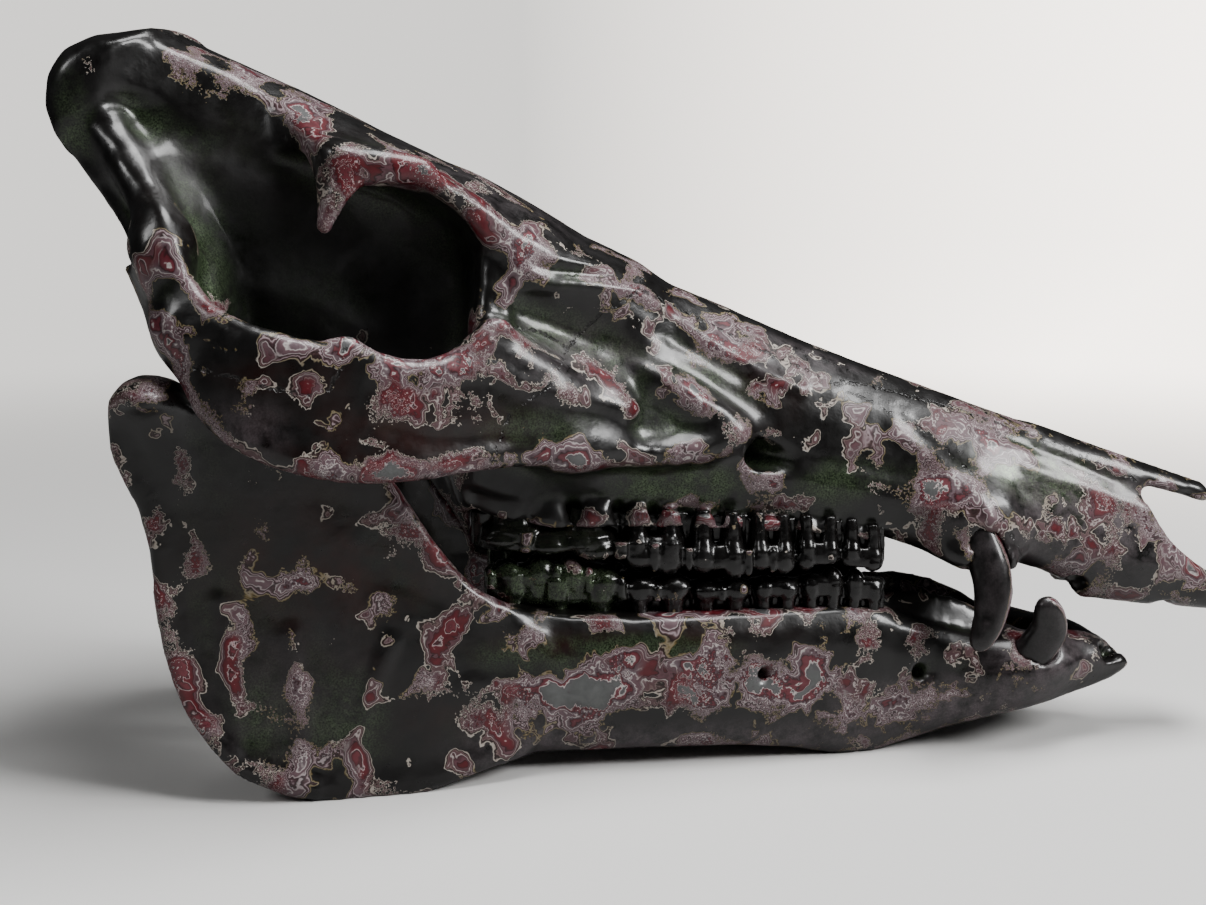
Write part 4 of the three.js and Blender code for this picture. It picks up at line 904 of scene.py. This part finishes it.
# %% The rings of the layers
RED_ORDER = [
    (0.385, "0d0909"), (0.391, "b7afa4"), (0.402, "a79a91"), (0.408, "170b09"), (0.424, "2b1312"), (0.43, "7b6764"),
    (0.437, "533738"), (0.455, "5e4348"), (0.461, "bfb3af"), (0.472, "41262b"), (0.5, "633f46"), (0.508, "20090d"),
    (0.52, "500f17"), (0.58, "641a23"), (0.588, "c9b4b4"), (0.6, "2d0c11"), (0.63, "6b2c34"), (0.7, "59232a"),
    (0.71, "c6bfbc"), (0.722, "464144"), (0.78, "5f6060"), (0.9, "6c6c6c"),
]
PALE_ORDER = [
    (0.385, "0d0909"), (0.392, "67572f"), (0.402, "8a7e67"), (0.41, "1b0e0c"), (0.426, "442c2d"), (0.434, "a79599"),
    (0.446, "50383d"), (0.466, "2b1b1d"), (0.474, "b4a7a7"), (0.486, "5c454b"), (0.52, "6c545a"), (0.528, "cec6c2"),
    (0.542, "6d5d62"), (0.58, "51373e"), (0.59, "200d10"), (0.61, "5e2029"), (0.65, "6e333c"), (0.66, "cdc5c1"),
    (0.68, "504d4f"), (0.76, "646665"), (0.9, "717372"),
]
FIRST_RING, SILVER_RING = (0.383, 0.39), (0.72, 0.76)  # The depths between which each comes to show.
tree, takes = group("lacquer layers", {"Depth": 0.3, "Place": (0, 0, 0)})
order = spread(tree, cloud(tree, takes["Place"], 26, 1.0), 0.47, 0.53)
rings = blend(tree, order, ramp(tree, takes["Depth"], RED_ORDER), ramp(tree, takes["Depth"], PALE_ORDER))
shown, silver = (spread(tree, takes["Depth"], *depths) for depths in (FIRST_RING, SILVER_RING))
layers_group = finished(tree, Color=rings, Shown=shown, Silver=silver)

# %% [markdown]
# The black is not one black. On the cheek and the jaw a clear red-brown coat lies over it, and where lacquer
# pooled in hollows it holds green metal powder, as fine flakes of uneven brightness. Along the jaw's lower edge
# and on the snout the black was only scuffed to a mottled satin grey.

# %% The dark ground
tree, takes = group("lacquer ground", {"Red": 0.0, "Pooled": 0.0, "Haze": 0.0})
where = object_place(tree)
broad = cloud(tree, where, 14, 3.0, 0.6)
black = blend(tree, broad, linear("080707"), linear("12100f"))
red_share = times(tree, takes["Red"], spread(tree, broad, 0.36, 0.62), clamp=True)
browned = blend(tree, red_share, black, linear("260c08"))
flakes = spread(tree, cloud(tree, where, 0.5, 1.0), 0.3, 0.75)
dusted = spread(tree, cloud(tree, where, 6, 3.0, 0.6), 0.3, 0.6)
powder = times(tree, takes["Pooled"], dusted, clamp=True)
powdered = blend(tree, powder, browned, blend(tree, flakes, linear("1a2414"), linear("6a7d5c")))
mottle = spread(tree, cloud(tree, where, 5, 5.0, 0.7), 0.36, 0.6)
hazed = times(tree, takes["Haze"], mottle, clamp=True)
satin = blend(tree, hazed, powdered, blend(tree, flakes, linear("4a4044"), linear("645a5d")))
ground_group = finished(tree, Color=satin, Powder=powder, Hazed=hazed)

# %% [markdown]
# Seams are drawn from the kept distance, shifted by noise so that they wander. A line cut into the mesh would
# need far more points.

# %% Seam lines
SEAM_WANDER, SEAM_MIDDLE = 3.0, 0.45
tree, takes = group("bone seams", {"Distance": NO_SEAM, "Width": 0.55})
shift = sums(tree, "SUBTRACT", cloud(tree, object_place(tree), 2.2), SEAM_MIDDLE)
shifted = sums(tree, "ADD", takes["Distance"], times(tree, shift, SEAM_WANDER))
line = spread(tree, sums(tree, "ABSOLUTE", shifted), 0.1, takes["Width"], 1.0, 0.0)
seam_group = finished(tree, Line=line)

# %% [markdown]
# The material puts them together: dark ground, rings where the rubbing reached them, seams over both, and painted
# shade deep in the sockets, where the colour turns near-black. A clear polished coat lies on top, except where the
# shade is painted. The bump holds the soft waves of brushed lacquer, the low steps at the rings, and the sunk
# seams.
# Powder and the silver ground are partly metal.

# %% The colour, polish and relief of lacquer
# The second black is painted shade for deep in the sockets.
SEAM_BLACK, PAINTED_SHADE_BLACK = linear("0c0808"), (0.0012, 0.001, 0.001, 1)
RING_ROUGHER, SHADED_ROUGHER, HAZE_ROUGHER = 0.08, 0.4, 0.1
WAVE, STEP_DOWN, SEAM_SUNK = 0.3, -0.12, -0.55


def lacquer_colour(tree, layers, ground, line, deep):
    colour = blend(tree, layers["Shown"], ground["Color"], layers["Color"])
    colour = blend(tree, times(tree, line, 0.85), colour, SEAM_BLACK)
    # Painted shade: deep in the sockets the colour turns near-black.
    return blend(tree, deep, colour, PAINTED_SHADE_BLACK)


def lacquer_metal(tree, layers, ground):
    covered = sums(tree, "SUBTRACT", 1.0, layers["Shown"])
    powder = times(tree, times(tree, ground["Powder"], covered), 0.75)
    return sums(tree, "MAXIMUM", powder, times(tree, layers["Silver"], 0.5))


def lacquer_roughness(tree, where, middle, layers, ground, deep):
    rough = spread(tree, cloud(tree, where, 5, 3.0, 0.6), 0.3, 0.7, middle - 0.07, middle + 0.09)
    rougher = ((layers["Shown"], RING_ROUGHER), (deep, SHADED_ROUGHER), (ground["Hazed"], HAZE_ROUGHER))
    for share, amount in rougher:
        rough = sums(tree, "MULTIPLY_ADD", share, amount, rough)
    return rough


def lacquer_relief(tree, where, layers, line):
    height = times(tree, cloud(tree, where, 4.5, 3.0, 0.55), WAVE)
    for share, amount in ((layers["Shown"], STEP_DOWN), (line, SEAM_SUNK)):
        height = sums(tree, "ADD", height, times(tree, share, amount))
    return place(tree, "ShaderNodeBump", {"Height": height, "Strength": 0.55, "Distance": 0.0012}).outputs[0]


# %% A lacquered material
COAT = 0.4
KEPT_NUMBERS = ("rub", "pooled", "red", "seam", "deep", "haze")


def use(tree, which, inputs):
    return place(tree, "ShaderNodeGroup", inputs, node_tree=which).outputs


def lacquered(name, start, swell, ripple, spray, roughness):
    """start is how deep the rubbing went where the bone is level, the next three how uneven it is."""
    material = bpy.data.materials.new(name)
    material.use_nodes = True
    tree = material.node_tree
    rub, pooled, red, seam, deep, haze = (
        place(tree, "ShaderNodeAttribute", attribute_name=label).outputs["Fac"] for label in KEPT_NUMBERS
    )
    where = object_place(tree)
    depth = use(tree, depth_group, {"Rub": rub, "Swell": swell, "Ripple": ripple, "Spray": spray, "Start": start})
    layers = use(tree, layers_group, {"Depth": depth["Depth"], "Place": depth["Place"]})
    ground = use(tree, ground_group, {"Red": red, "Pooled": pooled, "Haze": haze})
    line = use(tree, seam_group, {"Distance": seam})["Line"]
    wire(tree, tree.nodes["Principled BSDF"], {
        "Base Color": lacquer_colour(tree, layers, ground, line, deep),
        "Metallic": lacquer_metal(tree, layers, ground),
        "Roughness": lacquer_roughness(tree, where, roughness, layers, ground, deep),
        # No polish where shade is painted deep in the sockets.
        "Coat Weight": sums(tree, "MULTIPLY_ADD", deep, -COAT, COAT),
        "Coat Roughness": 0.16,
        "Coat IOR": 1.52,
        "Normal": lacquer_relief(tree, where, layers, line),
    })
    print(name, len(tree.nodes), "nodes")
    return material


def coat(pieces, material):
    for piece in pieces:
        piece.data.materials.clear()
        piece.data.materials.append(material)


coat([skull], lacquered("lacquered_bone", start=0.262, swell=0.85, ripple=0.42, spray=0.3, roughness=0.33))
coat([jaw], lacquered("lacquered_bone_red", start=0.25, swell=0.85, ripple=0.42, spray=0.3, roughness=0.33))

# %% [markdown]
# The teeth carry the same dark lacquer, but enamel is hard and was barely rubbed. Only the proudest knobs on
# the cheek's side show pale rings, and the lower molars at the back hold some green powder. The front edge of
# each tusk was rubbed along its length.

# %% Teeth and tusks
def keep_tooth_numbers(piece, rub, pooled=0.0, haze=0.0):
    """Teeth have no seams, no red coat and no painted shade."""
    even = np.ones(len(piece.data.vertices))
    keep_numbers(piece, rub=rub, pooled=even * pooled, haze=even * haze,
                 red=even * 0, deep=even * 0, seam=even * NO_SEAM)


for piece in upper_teeth + lower_teeth:
    points = read_points(piece.data)
    outer = rise(np.abs(points[:, 1]), 26, 30)
    rub = np.clip(proudness(piece.data, 22) * 0.9, -0.5, 0.6) * outer - 0.25 * (1 - outer)
    at_the_back = rise(points[:, 0], 6, -4)
    keep_tooth_numbers(piece, rub, pooled=(0.75 if piece in lower_teeth else 0.1) * at_the_back)
for piece in tusks.values():
    front = np.empty(len(piece.data.vertices), np.float32)
    piece.data.attributes["front"].data.foreach_get("value", front)
    keep_tooth_numbers(piece, front * 0.95 - 0.38, haze=0.22)

enamel = lacquered("lacquered_enamel", start=0.2, swell=0.6, ripple=0.4, spray=0.2, roughness=0.24)
ivory = lacquered("lacquered_tusk", start=0.3, swell=0.5, ripple=0.35, spray=0.3, roughness=0.36)
coat(upper_teeth + lower_teeth, enamel)
coat(tusks.values(), ivory)

# %% [markdown]
# The room is one pale tone that grows brighter to the right. The floor and the room behind it both use it, so no
# edge shows where the two meet.

# %% The tone of the room
ROOM_PALE, ROOM_BRIGHT = (1.3, 1.27, 1.22, 1), (5.0, 4.6, 4.2, 1)
BRIGHT_FROM, BRIGHT_TO = 0.0, 0.42  # The sideways part of a direction, from straight ahead to the right.


def room_tone(tree, direction):
    to_the_right = place(tree, "ShaderNodeSeparateXYZ", {0: direction}).outputs[0]
    return blend(tree, spread(tree, to_the_right, BRIGHT_FROM, BRIGHT_TO), ROOM_PALE, ROOM_BRIGHT)


def for_camera(tree):
    """1 where the camera sees a thing directly, 0 in mirrored and bounced light."""
    return place(tree, "ShaderNodeLightPath").outputs["Is Camera Ray"]


# %% [markdown]
# A plain pale floor runs back to the room. Far from the lamps it would fall dark, so it takes on the room's tone
# with distance. The camera sees it nearly white, but it throws back the light of a grey floor, because a white one
# would wash out the black.

# %% Floor
FLOOR_SEEN, FLOOR_BOUNCED = (0.96, 0.95, 0.93, 1), (0.32, 0.316, 0.312, 1)
FADE_FROM, FADE_TO = 0.2, 1.5

floor_finish = bpy.data.materials.new("floor")
floor_finish.use_nodes = True
tree = floor_finish.node_tree
shader = tree.nodes["Principled BSDF"]
where, seen = object_place(tree), for_camera(tree)
wire(tree, shader, {"Base Color": blend(tree, seen, FLOOR_BOUNCED, FLOOR_SEEN), "Roughness": 0.5})
tone = place(tree, "ShaderNodeEmission", {"Color": room_tone(tree, vectors(tree, "NORMALIZE", {0: where}))})
away = vectors(tree, "LENGTH", {0: where}, "Value")
fade = spread(tree, away, FADE_FROM, FADE_TO, interpolation_type="SMOOTHSTEP")
share = times(tree, fade, seen)
both = place(tree, "ShaderNodeMixShader", {0: share, 1: shader.outputs[0], 2: tone.outputs[0]})
wire(tree, tree.nodes["Material Output"], {"Surface": both.outputs[0]})

bpy.ops.mesh.primitive_plane_add(size=40, location=(0, 0, 0))
floor = bpy.context.object
floor.name = "floor"
floor.data.materials.append(floor_finish)

# %% [markdown]
# The room that the lacquer mirrors is far dimmer than the wall the camera sees, which keeps the black deep. So it
# has one brightness for the camera and a lower one for everything else.

# %% The room
ROOM_DIM = 0.03
world = bpy.data.worlds.new("studio")
scene.world = world
world.use_nodes = True
tree = world.node_tree
backdrop = tree.nodes["Background"]
wire(tree, backdrop, {"Color": room_tone(tree, place(tree, "ShaderNodeTexCoord").outputs["Generated"])})
dim = place(tree, "ShaderNodeBackground", {"Color": linear("d9dce0"), "Strength": ROOM_DIM})
both = place(tree, "ShaderNodeMixShader", {0: for_camera(tree), 1: dim.outputs[0], 2: backdrop.outputs[0]})
wire(tree, tree.nodes["World Output"], {"Surface": both.outputs[0]})

# %% [markdown]
# The light is soft. The key lamp stands high to the right of the camera, a wide ceiling lamp hangs over the snout,
# and a weak one at the left shows the back of the head. The polish mirrors them as long pale highlights.

# %% Light
AIM = (0, 0, 0.1)


def softbox(name, stands_at, size, power):
    lamp = bpy.data.lights.new(name, "AREA")
    lamp.shape = "RECTANGLE"
    lamp.size, lamp.size_y = size
    lamp.energy = power
    box = bpy.data.objects.new(name, lamp)
    scene.collection.objects.link(box)
    box.location = stands_at
    box.rotation_euler = (Vector(AIM) - Vector(stands_at)).to_track_quat("-Z", "Y").to_euler()
    print(name, power, "W")


softbox("key", (1.05, -0.55, 0.85), (0.45, 0.45), 16)
softbox("ceiling", (0.3, -0.05, 1.25), (0.8, 0.55), 18)
softbox("left", (-0.9, -0.55, 0.8), (0.3, 0.3), 2.5)
